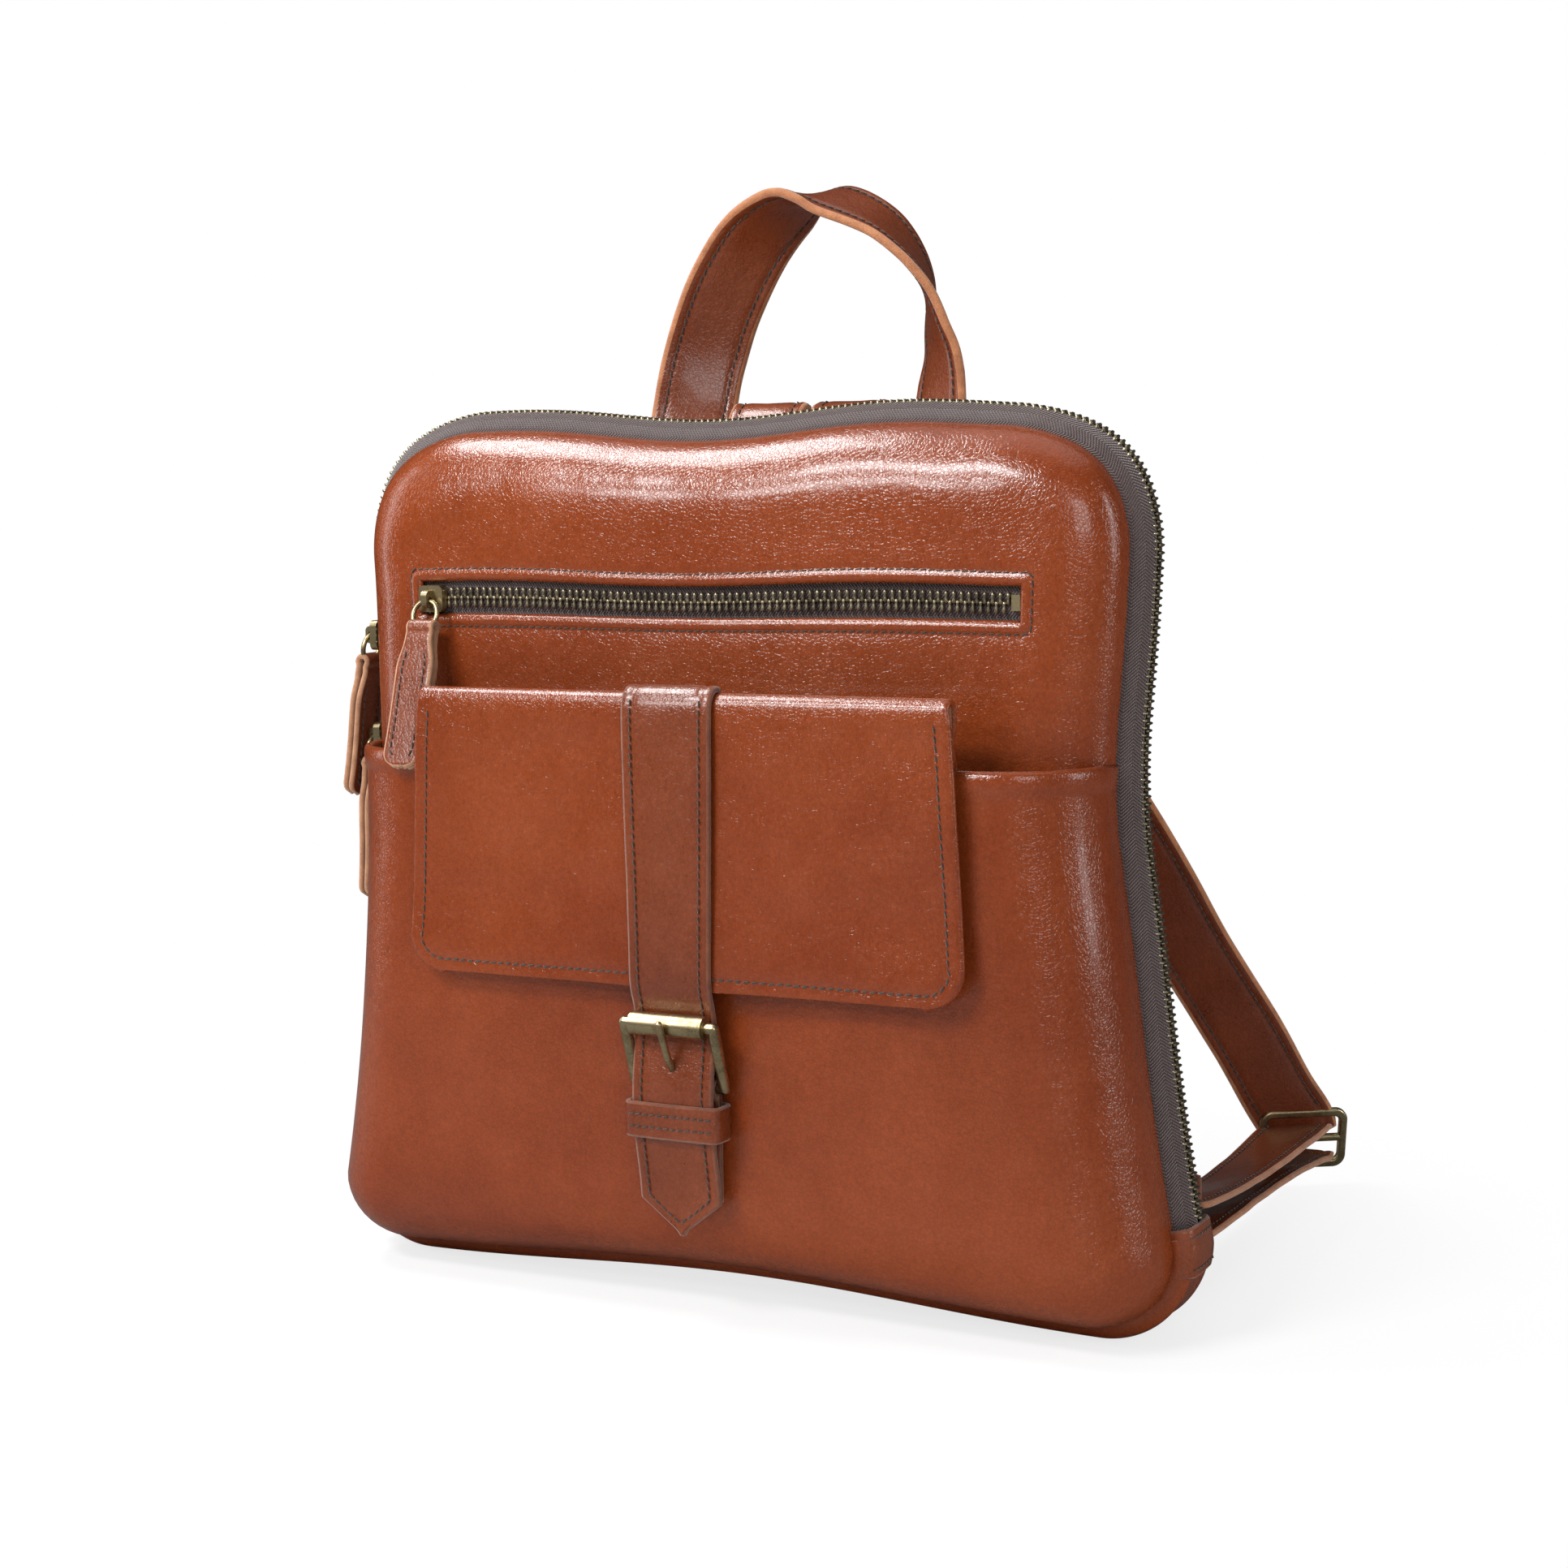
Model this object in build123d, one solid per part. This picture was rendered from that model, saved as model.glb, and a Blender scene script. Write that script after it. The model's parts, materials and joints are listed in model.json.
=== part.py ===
from build123d import *
import math
import os

# Leather backpack, in millimetres.
# Frame: +Z up, -Y is the front of the bag, +Y the side against the wearer's back.
# The origin is the middle of the bottom gusset, on the plane of the main zip (y = 0).

# Outline of the bag seen from the front
HEIGHT = 308.0
HALF_WIDTH_LOW = 166.5
HALF_WIDTH_WAIST = 156.0
HALF_WIDTH_SIDE = 151.0
WAIST_Z = 100.0
SIDE_START_Z = 165.0
LOWER_RADIUS = 33.0
UPPER_RADIUS = 50.0
LEAST_RADIUS = 6.0

# Leather, fabric and seams
LEATHER = 2.2
FABRIC = 0.8
GAP = 0.4
SEAM_Y = 9.8
GUSSET_Y = 9.4
FOLD_Z = 30.0
ZIP_END_Z = 43.0

# Each dome is a list of (inset from the outline, y)
FRONT_DOME = [(9.0, -SEAM_Y), (14.0, -20.0), (30.0, -27.5)]
POCKET_DOME = [(6.0, -SEAM_Y), (12.0, -30.0), (34.0, -47.0)]
BACK_DOME = [(9.0, SEAM_Y), (12.0, 30.0), (30.0, 42.0)]
POCKET_TOP_Z = 192.0

# Main zip
TEETH_HALF = 1.2
TEETH_SPLIT = 0.15

# Front zip window
WINDOW_HALF = 115.5
WINDOW_Z = 245.2
WINDOW_HEIGHT = 12.0
CHAIN_HEIGHT = 6.2
FRONT_SLIDER_X = -110.0

# Flap and its strap
FLAP_TOP_HALF = 99.6
FLAP_LOW_HALF = 105.2
FLAP_LOW_Z = 117.0
FLAP_TOP_Z = 216.0
FLAP_FRONT_Y = -54.2
FOLD_OUTER = 4.1
FOLD_CENTRE = (FLAP_FRONT_Y + FOLD_OUTER, FLAP_TOP_Z - FOLD_OUTER)
STRAP_TOP_HALF = 15.9
STRAP_LOW_HALF = 14.4
STRAP_THICK = 2.0
STRAP_TIP_Z = 32.5
STRAP_SHOULDER_Z = 43.7

# Roller buckle: (y, z) of its two bars
ROLLER_AXIS = (-58.9, 105.0)
BASE_BAR = (-51.8, 83.4)
BUCKLE_HALF = 17.0
WIRE = 2.0
AXLE = 2.9
ROLLER = 4.0
ROLLER_HALF = 13.9
FIT = 0.05

# Zip sliders, rings and leather pulls
RING_MAJOR = 5.0
RING_WIRE = 0.9
PULL_LENGTH = 50.0
PULL_WIDTH = 13.0
PULL_THICK = 4.4
MAIN_SLIDER_X = -HALF_WIDTH_SIDE - TEETH_HALF - GAP
UPPER_SLIDER_Z = 230.0
LOWER_SLIDER_Z = 192.0
UPPER_LEAN = 8.5
LOWER_LEAN = 3.0
FRONT_LEAN = 18.0

# Handle and shoulder straps
HANDLE_X = 49.8
HANDLE_WIDTH = 27.0
HANDLE_THICK = 3.5
HANDLE_TOP_Z = 385.5
HANDLE_PIVOT_Z = 290.0
# Which way the handle's width points, in degrees, from its left root to its right
HANDLE_ANGLES = (30, 32, 34, 48, 72, 104, 132, 148, 150)
SHOULDER_X = 16.0
SHOULDER_WIDTH = 26.0
SHOULDER_THICK = 3.0
SEWN_Y = 46.8
SHOULDER_PIVOT_Z = 298.0
ANCHOR_X = 138.0
ADJUSTER_CENTRE = (138.5, 204.5, 20.0)
ADJUSTER_BAR = Vector(0.83, 0.557, 0)
ADJUSTER_RISE = Vector(0.1, -0.15, 0.98)
ADJUSTER_WIDTH = 36.0
ADJUSTER_HEIGHT = 25.0
ADJUSTER_WIRE = 3.2


def block(x_range, y_range, z_range):
    """A box between pairs of limits."""
    size = [high - low for low, high in (x_range, y_range, z_range)]
    centre = [(high + low) / 2 for low, high in (x_range, y_range, z_range)]
    return Pos(*centre) * Box(*size)


def slab(z_low, z_high):
    """A wide box between two heights, for cutting."""
    return block((-300, 300), (-300, 300), (z_low, z_high))


def mirrored(part):
    """The part and its mirror image across the middle plane, as one group."""
    return Compound(children=[part, mirror(part, about=Plane.YZ)])


def rod(start, end, radius):
    """A round bar between two points."""
    axis = Vector(*end) - Vector(*start)
    plane = Plane(origin=start, z_dir=axis)
    return extrude(plane * Circle(radius), axis.length)


def ball(centre, radius):
    return Pos(*centre) * Sphere(radius)


def outline(inset, y):
    """The face of the bag's outline, stepped in by inset, at one depth."""
    low_radius = max(LOWER_RADIUS - inset, LEAST_RADIUS)
    top_radius = max(UPPER_RADIUS - inset, LEAST_RADIUS)
    x_low = HALF_WIDTH_LOW - inset
    x_side = HALF_WIDTH_SIDE - inset
    z_top = HEIGHT - inset
    diagonal = math.sqrt(0.5)
    low_centre = (x_low - low_radius, inset + low_radius)
    top_centre = (x_side - top_radius, z_top - top_radius)
    low_mid = (low_centre[0] + diagonal * low_radius, low_centre[1] - diagonal * low_radius)
    top_mid = (top_centre[0] + diagonal * top_radius, top_centre[1] + diagonal * top_radius)
    half = [
        Line((0, inset), (low_centre[0], inset)),
        ThreePointArc((low_centre[0], inset), low_mid, (x_low, low_centre[1])),
        ThreePointArc((x_low, low_centre[1]), (HALF_WIDTH_WAIST - inset, WAIST_Z), (x_side, SIDE_START_Z)),
        Line((x_side, SIDE_START_Z), (x_side, top_centre[1])),
        ThreePointArc((x_side, top_centre[1]), top_mid, (top_centre[0], z_top)),
        Line((top_centre[0], z_top), (0, z_top)),
    ]
    right = Curve() + half
    left = mirror(right, about=Plane.YZ)
    return Plane.XZ.offset(-y) * make_face(right + left)


def loft_levels(levels):
    return loft([outline(inset, y) for inset, y in levels], ruled=True)


def dome(levels, thickness=LEATHER):
    """A shell over the outline, open towards the zip and flat on its far side."""
    side = math.copysign(1.0, levels[-1][1])
    (inset_a, y_a), (inset_b, y_b), (inset_c, y_c) = levels
    inner = [
        (inset_a + thickness, y_a - side * 0.5),
        (inset_b + 0.9 * thickness, y_b - side * 0.75 * thickness),
        (inset_c, y_c - side * thickness),
    ]
    return loft_levels(levels) - loft_levels(inner)


def band(levels, thickness):
    """A strip that runs round the outline like a hoop."""
    inner = [(inset + thickness, y) for inset, y in levels]
    return loft_levels(levels) - loft_levels(inner)


def side_profile(points, half_width):
    """A (y, z) profile drawn out across the bag."""
    face = Plane.YZ * make_face(Polyline(*points, close=True))
    return extrude(face, half_width, both=True)


def ribbon(points, width_directions, width, thickness, sections=14):
    """A flat strap along a smooth path, turning between the given width directions."""
    path = Spline(*points)
    spans = len(width_directions) - 1
    faces = []
    for step in range(sections + 1):
        t = step / sections
        index = min(int(t * spans), spans - 1)
        share = t * spans - index
        start = Vector(*width_directions[index])
        end = Vector(*width_directions[index + 1])
        across = start * (1 - share) + end * share
        along = path % t
        across = across - along * across.dot(along)
        plane = Plane(origin=path @ t, x_dir=across, z_dir=along)
        faces.append(plane * Rectangle(width, thickness))
    return loft(faces, ruled=True)


# Back half of the bag

def back_panel():
    return dome(BACK_DOME)


def back_padding():
    face = outline(40.0, BACK_DOME[-1][1] - LEATHER - GAP)
    return extrude(face, 3.0) & slab(14, HEIGHT)


def laptop_sleeve():
    outer = block((-102, 102), (28.0, 36.0), (33, 215))
    inner = block((-100.8, 100.8), (29.2, 37.0), (34.2, 216))
    return outer - inner


def base_gusset():
    return band([(0, -GUSSET_Y), (0, GUSSET_Y)], LEATHER) & slab(-1, FOLD_Z - 0.2)


def base_board():
    return block((-126, 126), (-9, 9), (LEATHER + GAP, LEATHER + GAP + 2.0))


def zip_end_tab(side):
    tabs = band([(0, -GUSSET_Y), (0, GUSSET_Y)], LEATHER) & slab(FOLD_Z + 0.2, ZIP_END_Z)
    return tabs & block(sorted((0, side * 300)), (-50, 50), (0, 60))


def front_panel_base():
    return dome(FRONT_DOME) & slab(-1, FOLD_Z - 0.2)


def pocket_panel_base():
    return dome(POCKET_DOME) & slab(-1, FOLD_Z - 0.2)


def main_tape(side):
    levels = [(6.5, side * 9.5), (0.6, side * 1.6)]
    return band(levels, FABRIC) & slab(ZIP_END_Z + GAP, HEIGHT + 10)


def main_teeth(side):
    levels = [(-TEETH_HALF, side * TEETH_SPLIT), (-TEETH_HALF, side * (TEETH_SPLIT + 1.2))]
    return band(levels, 2 * TEETH_HALF - 0.7) & slab(ZIP_END_Z + 2, HEIGHT + 10)


def strap_yoke():
    return block((-66, 66), (42.3, 44.7), (250, 284))


def strap_roots():
    half = SHOULDER_WIDTH / 2
    x_range = (SHOULDER_X - half, SHOULDER_X + half)
    y_range = (SEWN_Y - SHOULDER_THICK / 2, SEWN_Y + SHOULDER_THICK / 2)
    return mirrored(block(x_range, y_range, (262, SHOULDER_PIVOT_Z - 0.6)))


def handle_roots():
    half = HANDLE_WIDTH / 2
    x_range = (HANDLE_X - half, HANDLE_X + half)
    return mirrored(block(x_range, (45.1, 48.5), (262, HANDLE_PIVOT_Z - 8)))


def anchor_tabs():
    return mirrored(block((ANCHOR_X - 12, ANCHOR_X + 12), (42.4, 44.6), (16, 44)))


# Front half of the bag, which swings forward when the main zip is open

def front_panel():
    panel = dome(FRONT_DOME) & slab(FOLD_Z + 0.2, HEIGHT)
    half_height = WINDOW_HEIGHT / 2
    window = block((-WINDOW_HALF, WINDOW_HALF), (-40, -15), (WINDOW_Z - half_height, WINDOW_Z + half_height))
    return panel - window


def pocket_panel():
    return dome(POCKET_DOME) & slab(FOLD_Z + 0.2, POCKET_TOP_Z)


def front_lining():
    return extrude(outline(30.0, -11.6), -FABRIC) & slab(34, HEIGHT)


def zip_pocket_bag():
    outer = block((-112, 112), (-24.0, -12.4), (120, 257))
    inner = block((-111.2, 111.2), (-23.2, -13.2), (120.8, 256.2))
    mouth = block((-110, 110), (-26, -22), (240, 250.4))
    return outer - inner - mouth


def window_tape(side):
    near = WINDOW_Z + side * 1.2
    far = WINDOW_Z + side * 11.8
    return block((-119, 119), (-24.9, -24.3), sorted((near, far)))


def window_teeth(side):
    near = WINDOW_Z + side * 0.1
    far = WINDOW_Z + side * CHAIN_HEIGHT / 2
    return block((-108, 111), (-27.0, -25.0), sorted((near, far)))


def window_stops():
    left = block((-115, -109.2), (-26.4, -25.0), (WINDOW_Z - 2.0, WINDOW_Z + 2.0))
    right = block((111.5, 114.5), (-27.0, -25.0), (WINDOW_Z - 2.6, WINDOW_Z + 2.6))
    return Compound(children=[left, right])


def flap_backing():
    points = [(-48.2, 207.4), (-46.0, 207.4), (-28.0, 197.6), (-28.0, 170.0), (-29.9, 170.0), (-29.9, 196.0)]
    return side_profile(points, FLAP_TOP_HALF - 2)


def snap_disc(y_near, y_far):
    return rod((0, y_near, 55.0), (0, y_far, 55.0), 6.0)


# Flap

def flap_outline(step_in=0.0):
    """The flap seen from the front, with its two lower corners rounded."""
    low = FLAP_LOW_HALF - step_in
    top = FLAP_TOP_HALF - step_in
    z_low, z_high = FLAP_LOW_Z + step_in, FLAP_TOP_Z + 5
    corners = [(-top, z_high), (-low, z_low), (low, z_low), (top, z_high)]
    face = make_face(Polyline(*corners, close=True))
    lower = face.vertices().sort_by(Axis.Y)[:2]
    rounded = fillet(lower, 13.0 - step_in)
    return extrude(Plane.XZ * rounded, 100, both=True)


def flap_leather():
    y_centre, z_centre = FOLD_CENTRE
    hoop = rod((-120, y_centre, z_centre), (120, y_centre, z_centre), FOLD_OUTER)
    hole = rod((-121, y_centre, z_centre), (121, y_centre, z_centre), FOLD_OUTER - LEATHER)
    fold = (hoop - hole) & slab(z_centre, z_centre + 20)
    front = block((-120, 120), (FLAP_FRONT_Y, FLAP_FRONT_Y + LEATHER), (100, z_centre))
    return (fold + front) & flap_outline()


def flap_lining():
    y_back = FLAP_FRONT_Y + LEATHER + 0.3
    return block((-120, 120), (y_back, y_back + FABRIC), (100, 205)) & flap_outline(4.0)


def flap_strap():
    """The long strap: down the flap, behind the roller, over the base bar, through the keeper."""
    z_roller, z_bar = ROLLER_AXIS[1], BASE_BAR[1]
    middle = [(-55.5, 214.0), (-55.5, 117.0), (-54.9, 112.6), (-53.6, z_roller), (-55.2, 94.4),
              (-56.8, z_bar), (-55.3, 73.0), (-54.0, 62.0), (-53.4, 45.0), (-53.2, STRAP_TIP_Z)]
    half = STRAP_THICK / 2
    front = [(y - half, z) for y, z in middle]
    rear = [(y + half, z) for y, z in reversed(middle)]
    strip = side_profile(front + rear, STRAP_TOP_HALF)
    shape = [(-STRAP_TOP_HALF, 214), (-STRAP_LOW_HALF, FLAP_LOW_Z), (-STRAP_LOW_HALF, STRAP_SHOULDER_Z),
             (0, STRAP_TIP_Z), (STRAP_LOW_HALF, STRAP_SHOULDER_Z), (STRAP_LOW_HALF, FLAP_LOW_Z),
             (STRAP_TOP_HALF, 214)]
    cutter = extrude(Plane.XZ * make_face(Polyline(*shape, close=True)), 100, both=True)
    prong_slot = block((-1.9, 1.9), (-70, -45), (z_bar - 0.5, z_bar + 10.5))
    return (strip & cutter) - prong_slot


def buckle_chape():
    y_bar, z_bar = BASE_BAR
    half = STRAP_LOW_HALF - 0.3
    loop = rod((-half, y_bar, z_bar), (half, y_bar, z_bar), 3.6)
    plate = block((-half, half), (-52.0, -49.4), (44, z_bar - 2))
    slot = block((-2.3, 2.3), (-60, -40), (z_bar - 6, z_bar + 10))
    bore = rod((-20, y_bar, z_bar), (20, y_bar, z_bar), WIRE + FIT)
    return loop + plate - slot - bore


def buckle_frame():
    (y_roller, z_roller), (y_base, z_base) = ROLLER_AXIS, BASE_BAR
    left = -BUCKLE_HALF
    right = BUCKLE_HALF
    frame = rod((left, y_base, z_base), (right, y_base, z_base), WIRE)
    frame += rod((left, y_roller, z_roller), (right, y_roller, z_roller), WIRE)
    frame += rod((-ROLLER_HALF - 0.3, y_roller, z_roller), (ROLLER_HALF + 0.3, y_roller, z_roller), AXLE)
    for x in (left, right):
        frame += rod((x, y_base, z_base), (x, y_roller, z_roller), WIRE)
        frame += ball((x, y_base, z_base), WIRE)
        frame += ball((x, y_roller, z_roller), WIRE)
    return frame


def buckle_roller():
    y_roller, z_roller = ROLLER_AXIS
    tube = rod((-ROLLER_HALF, y_roller, z_roller), (ROLLER_HALF, y_roller, z_roller), ROLLER)
    return tube - rod((-20, y_roller, z_roller), (20, y_roller, z_roller), AXLE + FIT)


def buckle_prong():
    y_base, z_base = BASE_BAR
    knuckle = rod((-1.75, y_base, z_base), (1.75, y_base, z_base), 3.5)
    root = (0, y_base - 1.8, z_base + 2.3)
    bend = (0, y_base - 8.2, z_base + 10.5)
    tip = (0, y_base - 13.8, z_base + 23.0)
    tongue = rod(root, bend, 1.3) + ball(bend, 1.3) + rod(bend, tip, 1.3) + ball(tip, 1.3)
    return knuckle + tongue - rod((-5, y_base, z_base), (5, y_base, z_base), WIRE + FIT)


def strap_keeper():
    outer = block((-18.4, 18.4), (-59.4, -48.4), (66.5, 77.2))
    inner = block((-16.6, 16.6), (-57.8, -49.1), (60, 80))
    return fillet(outer.edges().filter_by(Axis.Z), 1.5) - inner


# Zip sliders, rings and pulls

def ring(eye, pivot_axis, hang):
    """A wire ring hung from an eye, standing in the plane of its pivot axis and hang direction."""
    centre = Vector(*eye) + hang * RING_MAJOR
    plane = Plane(origin=centre, x_dir=pivot_axis, z_dir=pivot_axis.cross(hang))
    return plane * Torus(RING_MAJOR, RING_WIRE)


def pull(eye, pivot_axis, hang):
    """A leather tab that hangs from the lowest point of its ring."""
    pivot = Vector(*eye) + hang * 2 * RING_MAJOR
    plane = Plane(origin=pivot, x_dir=pivot_axis, z_dir=hang * -1)
    tab = Pos(0, 0, -PULL_LENGTH / 2 - 2.0) * Box(PULL_WIDTH, PULL_THICK, PULL_LENGTH)
    tab = fillet(tab.edges().filter_by(Axis.Y), 3.0)
    knuckle = Rot(0, 90, 0) * Cylinder(2.2, 4.0)
    bore = Rot(0, 90, 0) * Cylinder(1.5, 30)
    return plane * (tab + knuckle - bore)


def front_hang():
    lean = math.radians(FRONT_LEAN)
    return Vector(0, -math.sin(lean), -math.cos(lean))


def side_hang(degrees):
    lean = math.radians(degrees)
    return Vector(-math.sin(lean), 0, -math.cos(lean))


FRONT_EYE = (FRONT_SLIDER_X, -32.3, WINDOW_Z - 0.6)
UPPER_EYE = (MAIN_SLIDER_X - 4.8, 0, UPPER_SLIDER_Z)
LOWER_EYE = (MAIN_SLIDER_X - 4.8, 0, LOWER_SLIDER_Z)


def front_slider():
    x, z = FRONT_SLIDER_X, WINDOW_Z
    plate = block((x - 5, x + 5), (-30.2, -27.3), (z - 4.7, z + 4.7))
    plate = fillet(plate.edges().filter_by(Axis.Y), 2.0)
    lips = block((x - 3, x + 3), (-27.4, -25.4), (z + 3.4, z + 4.7))
    lips += block((x - 3, x + 3), (-27.4, -25.4), (z - 4.7, z - 3.4))
    lug = block((x - 1.2, x + 1.2), (-34.6, -30.0), (z - 3.0, z + 3.0))
    lug = fillet(lug.edges().filter_by(Axis.X).sort_by(Axis.Y)[:2], 1.8)
    _, y_eye, z_eye = FRONT_EYE
    return plate + lips + lug - rod((x - 5, y_eye, z_eye), (x + 5, y_eye, z_eye), 1.3)


def main_slider(z):
    x = MAIN_SLIDER_X
    plate = block((x - 2.8, x), (-4.5, 4.5), (z - 5.5, z + 5.5))
    plate = fillet(plate.edges().filter_by(Axis.X), 2.2)
    lug = block((x - 7.1, x - 2.6), (-1.2, 1.2), (z - 3.2, z + 3.2))
    lug = fillet(lug.edges().filter_by(Axis.Y).sort_by(Axis.X)[:2], 1.8)
    return plate + lug - rod((x - 4.8, -5, z), (x - 4.8, 5, z), 1.3)


# Handle and shoulder straps

def handle_strap():
    """The grab handle: it leans back, and its soft band turns over towards the right leg."""
    root_y, root_z = SEWN_Y, HANDLE_PIVOT_Z + 1
    left = [(-HANDLE_X, root_y, root_z), (-HANDLE_X, 57.5, 311), (-46.5, 60.5, 330), (-39, 62, 351),
            (-27, 63, 370.5)]
    top = [(-13.5, 64, 382), (-2.5, 64.5, HANDLE_TOP_Z), (8.5, 64.5, 383.5), (24, 64.5, 375)]
    right = [(35.5, 64, 363.5), (42, 63.5, 352), (46, 62, 337), (49.2, 60, 325), (HANDLE_X, 57.5, 311),
             (HANDLE_X, root_y, root_z)]
    directions = [direction(angle) for angle in HANDLE_ANGLES]
    return ribbon(left + top + right, directions, HANDLE_WIDTH, HANDLE_THICK, 26)


def direction(angle):
    return (math.cos(math.radians(angle)), math.sin(math.radians(angle)), 0)


def adjuster_plane():
    return Plane(origin=ADJUSTER_CENTRE, x_dir=ADJUSTER_BAR, z_dir=ADJUSTER_BAR.cross(ADJUSTER_RISE))


def strap_adjuster():
    """A rounded frame with a bar across its middle, held up by the strap."""
    outer = RectangleRounded(ADJUSTER_WIDTH, ADJUSTER_HEIGHT, 5.0)
    inner = RectangleRounded(ADJUSTER_WIDTH - 2 * ADJUSTER_WIRE, ADJUSTER_HEIGHT - 2 * ADJUSTER_WIRE, 2.5)
    frame = extrude(outer - inner, ADJUSTER_WIRE / 2, both=True)
    frame = fillet(frame.edges(), 1.0)
    frame += Rot(0, 90, 0) * Cylinder(ADJUSTER_WIRE / 2, ADJUSTER_WIDTH - ADJUSTER_WIRE)
    return adjuster_plane() * frame


def shoulder_strap():
    """Over the top of the back, down and outwards, to the bar of the adjuster."""
    sewn = [(SHOULDER_X, SEWN_Y, SHOULDER_PIVOT_Z + 0.6), (SHOULDER_X, SEWN_Y + 3, 307)]
    falling = [(SHOULDER_X + 1, 58, 310), (SHOULDER_X + 5, 72, 297), (42, 96, 252), (67, 124, 194),
               (91, 150, 139), (106, 167.5, 100), (122, 186, 63), (132, 197.5, 39.5)]
    points = sewn + falling
    directions = [(1, 0, 0), (1, 0, 0), (0.95, 0.3, 0), (0.83, 0.557, 0)]
    return ribbon(points[::-1], directions[::-1], SHOULDER_WIDTH, SHOULDER_THICK, 22)


def lower_bands():
    """The two runs of the strap's tail, from the adjuster back to the corner of the bag."""
    upper = [(ANCHOR_X, 51.4, 32), (ANCHOR_X + 2, 98, 26.5), (ANCHOR_X + 2, 143, 25.5), (ANCHOR_X, 188, 25)]
    lower = [(ANCHOR_X, 51.4, 22), (ANCHOR_X + 1, 98, 18.5), (ANCHOR_X + 1, 143, 17.5), (ANCHOR_X, 188, 15)]
    directions = [(1, 0, 0), (0.97, 0.1, 0.2), (0.93, 0.3, 0.15), (0.83, 0.557, 0)]
    runs = [ribbon(run, directions, SHOULDER_WIDTH, LEATHER, 8) for run in (upper, lower)]
    return Compound(children=runs)


X_AXIS = Vector(1, 0, 0)
Y_AXIS = Vector(0, 1, 0)

NODES = {
    "back_panel": back_panel(),
    "back_padding": back_padding(),
    "laptop_sleeve": laptop_sleeve(),
    "base_gusset": base_gusset(),
    "base_board": base_board(),
    "zip_end_tab_left": zip_end_tab(-1),
    "zip_end_tab_right": zip_end_tab(1),
    "front_panel_base": front_panel_base(),
    "pocket_panel_base": pocket_panel_base(),
    "main_tape_back": main_tape(1),
    "main_teeth_back": main_teeth(1),
    "strap_yoke": strap_yoke(),
    "strap_roots": strap_roots(),
    "handle_roots": handle_roots(),
    "anchor_tabs": anchor_tabs(),
    "front_panel": front_panel(),
    "pocket_panel": pocket_panel(),
    "front_lining": front_lining(),
    "zip_pocket_bag": zip_pocket_bag(),
    "window_tape_upper": window_tape(1),
    "window_tape_lower": window_tape(-1),
    "window_teeth_upper": window_teeth(1),
    "window_teeth_lower": window_teeth(-1),
    "window_stops": window_stops(),
    "main_tape_front": main_tape(-1),
    "main_teeth_front": main_teeth(-1),
    "flap_backing": flap_backing(),
    "snap_base": snap_disc(-47.2, -48.1),
    "flap_leather": flap_leather(),
    "flap_lining": flap_lining(),
    "flap_strap": flap_strap(),
    "buckle_chape": buckle_chape(),
    "buckle_frame": buckle_frame(),
    "strap_keeper": strap_keeper(),
    "snap_cap": snap_disc(-48.4, -49.2),
    "buckle_roller": buckle_roller(),
    "buckle_prong": buckle_prong(),
    "front_slider": front_slider(),
    "front_ring": ring(FRONT_EYE, X_AXIS, front_hang()),
    "front_pull": pull(FRONT_EYE, X_AXIS, front_hang()),
    "main_slider_upper": main_slider(UPPER_SLIDER_Z),
    "upper_ring": ring(UPPER_EYE, Y_AXIS, side_hang(UPPER_LEAN)),
    "upper_pull": pull(UPPER_EYE, Y_AXIS, side_hang(UPPER_LEAN)),
    "main_slider_lower": main_slider(LOWER_SLIDER_Z),
    "lower_ring": ring(LOWER_EYE, Y_AXIS, side_hang(LOWER_LEAN)),
    "lower_pull": pull(LOWER_EYE, Y_AXIS, side_hang(LOWER_LEAN)),
    "handle_strap": handle_strap(),
    "shoulder_strap_right": shoulder_strap(),
    "strap_adjuster_right": strap_adjuster(),
    "strap_tail_right": lower_bands(),
    "shoulder_strap_left": mirror(shoulder_strap(), about=Plane.YZ),
    "strap_adjuster_left": mirror(strap_adjuster(), about=Plane.YZ),
    "strap_tail_left": mirror(lower_bands(), about=Plane.YZ),
}

os.makedirs("parts", exist_ok=True)
for name, part in NODES.items():
    export_step(part, f"parts/{name}.step")
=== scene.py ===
import json
import math

import bpy
import numpy as np
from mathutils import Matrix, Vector, noise


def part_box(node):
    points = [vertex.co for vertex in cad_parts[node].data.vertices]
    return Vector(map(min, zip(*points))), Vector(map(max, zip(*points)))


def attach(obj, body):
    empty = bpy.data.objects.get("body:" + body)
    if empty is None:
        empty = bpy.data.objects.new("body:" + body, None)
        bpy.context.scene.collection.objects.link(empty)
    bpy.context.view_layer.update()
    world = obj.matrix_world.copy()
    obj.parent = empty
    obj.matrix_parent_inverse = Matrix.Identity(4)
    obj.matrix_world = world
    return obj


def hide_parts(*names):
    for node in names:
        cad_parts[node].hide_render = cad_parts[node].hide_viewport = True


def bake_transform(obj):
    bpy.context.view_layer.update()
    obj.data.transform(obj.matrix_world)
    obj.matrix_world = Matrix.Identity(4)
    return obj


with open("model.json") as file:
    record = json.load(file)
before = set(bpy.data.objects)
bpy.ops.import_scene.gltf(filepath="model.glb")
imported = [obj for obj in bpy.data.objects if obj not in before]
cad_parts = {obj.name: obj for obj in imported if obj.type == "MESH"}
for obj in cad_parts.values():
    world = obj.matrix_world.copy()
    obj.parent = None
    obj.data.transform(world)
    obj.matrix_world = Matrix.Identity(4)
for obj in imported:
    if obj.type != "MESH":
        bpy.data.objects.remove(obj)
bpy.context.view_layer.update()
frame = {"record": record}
RNG = np.random.default_rng(7)

MM = 0.001

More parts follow.
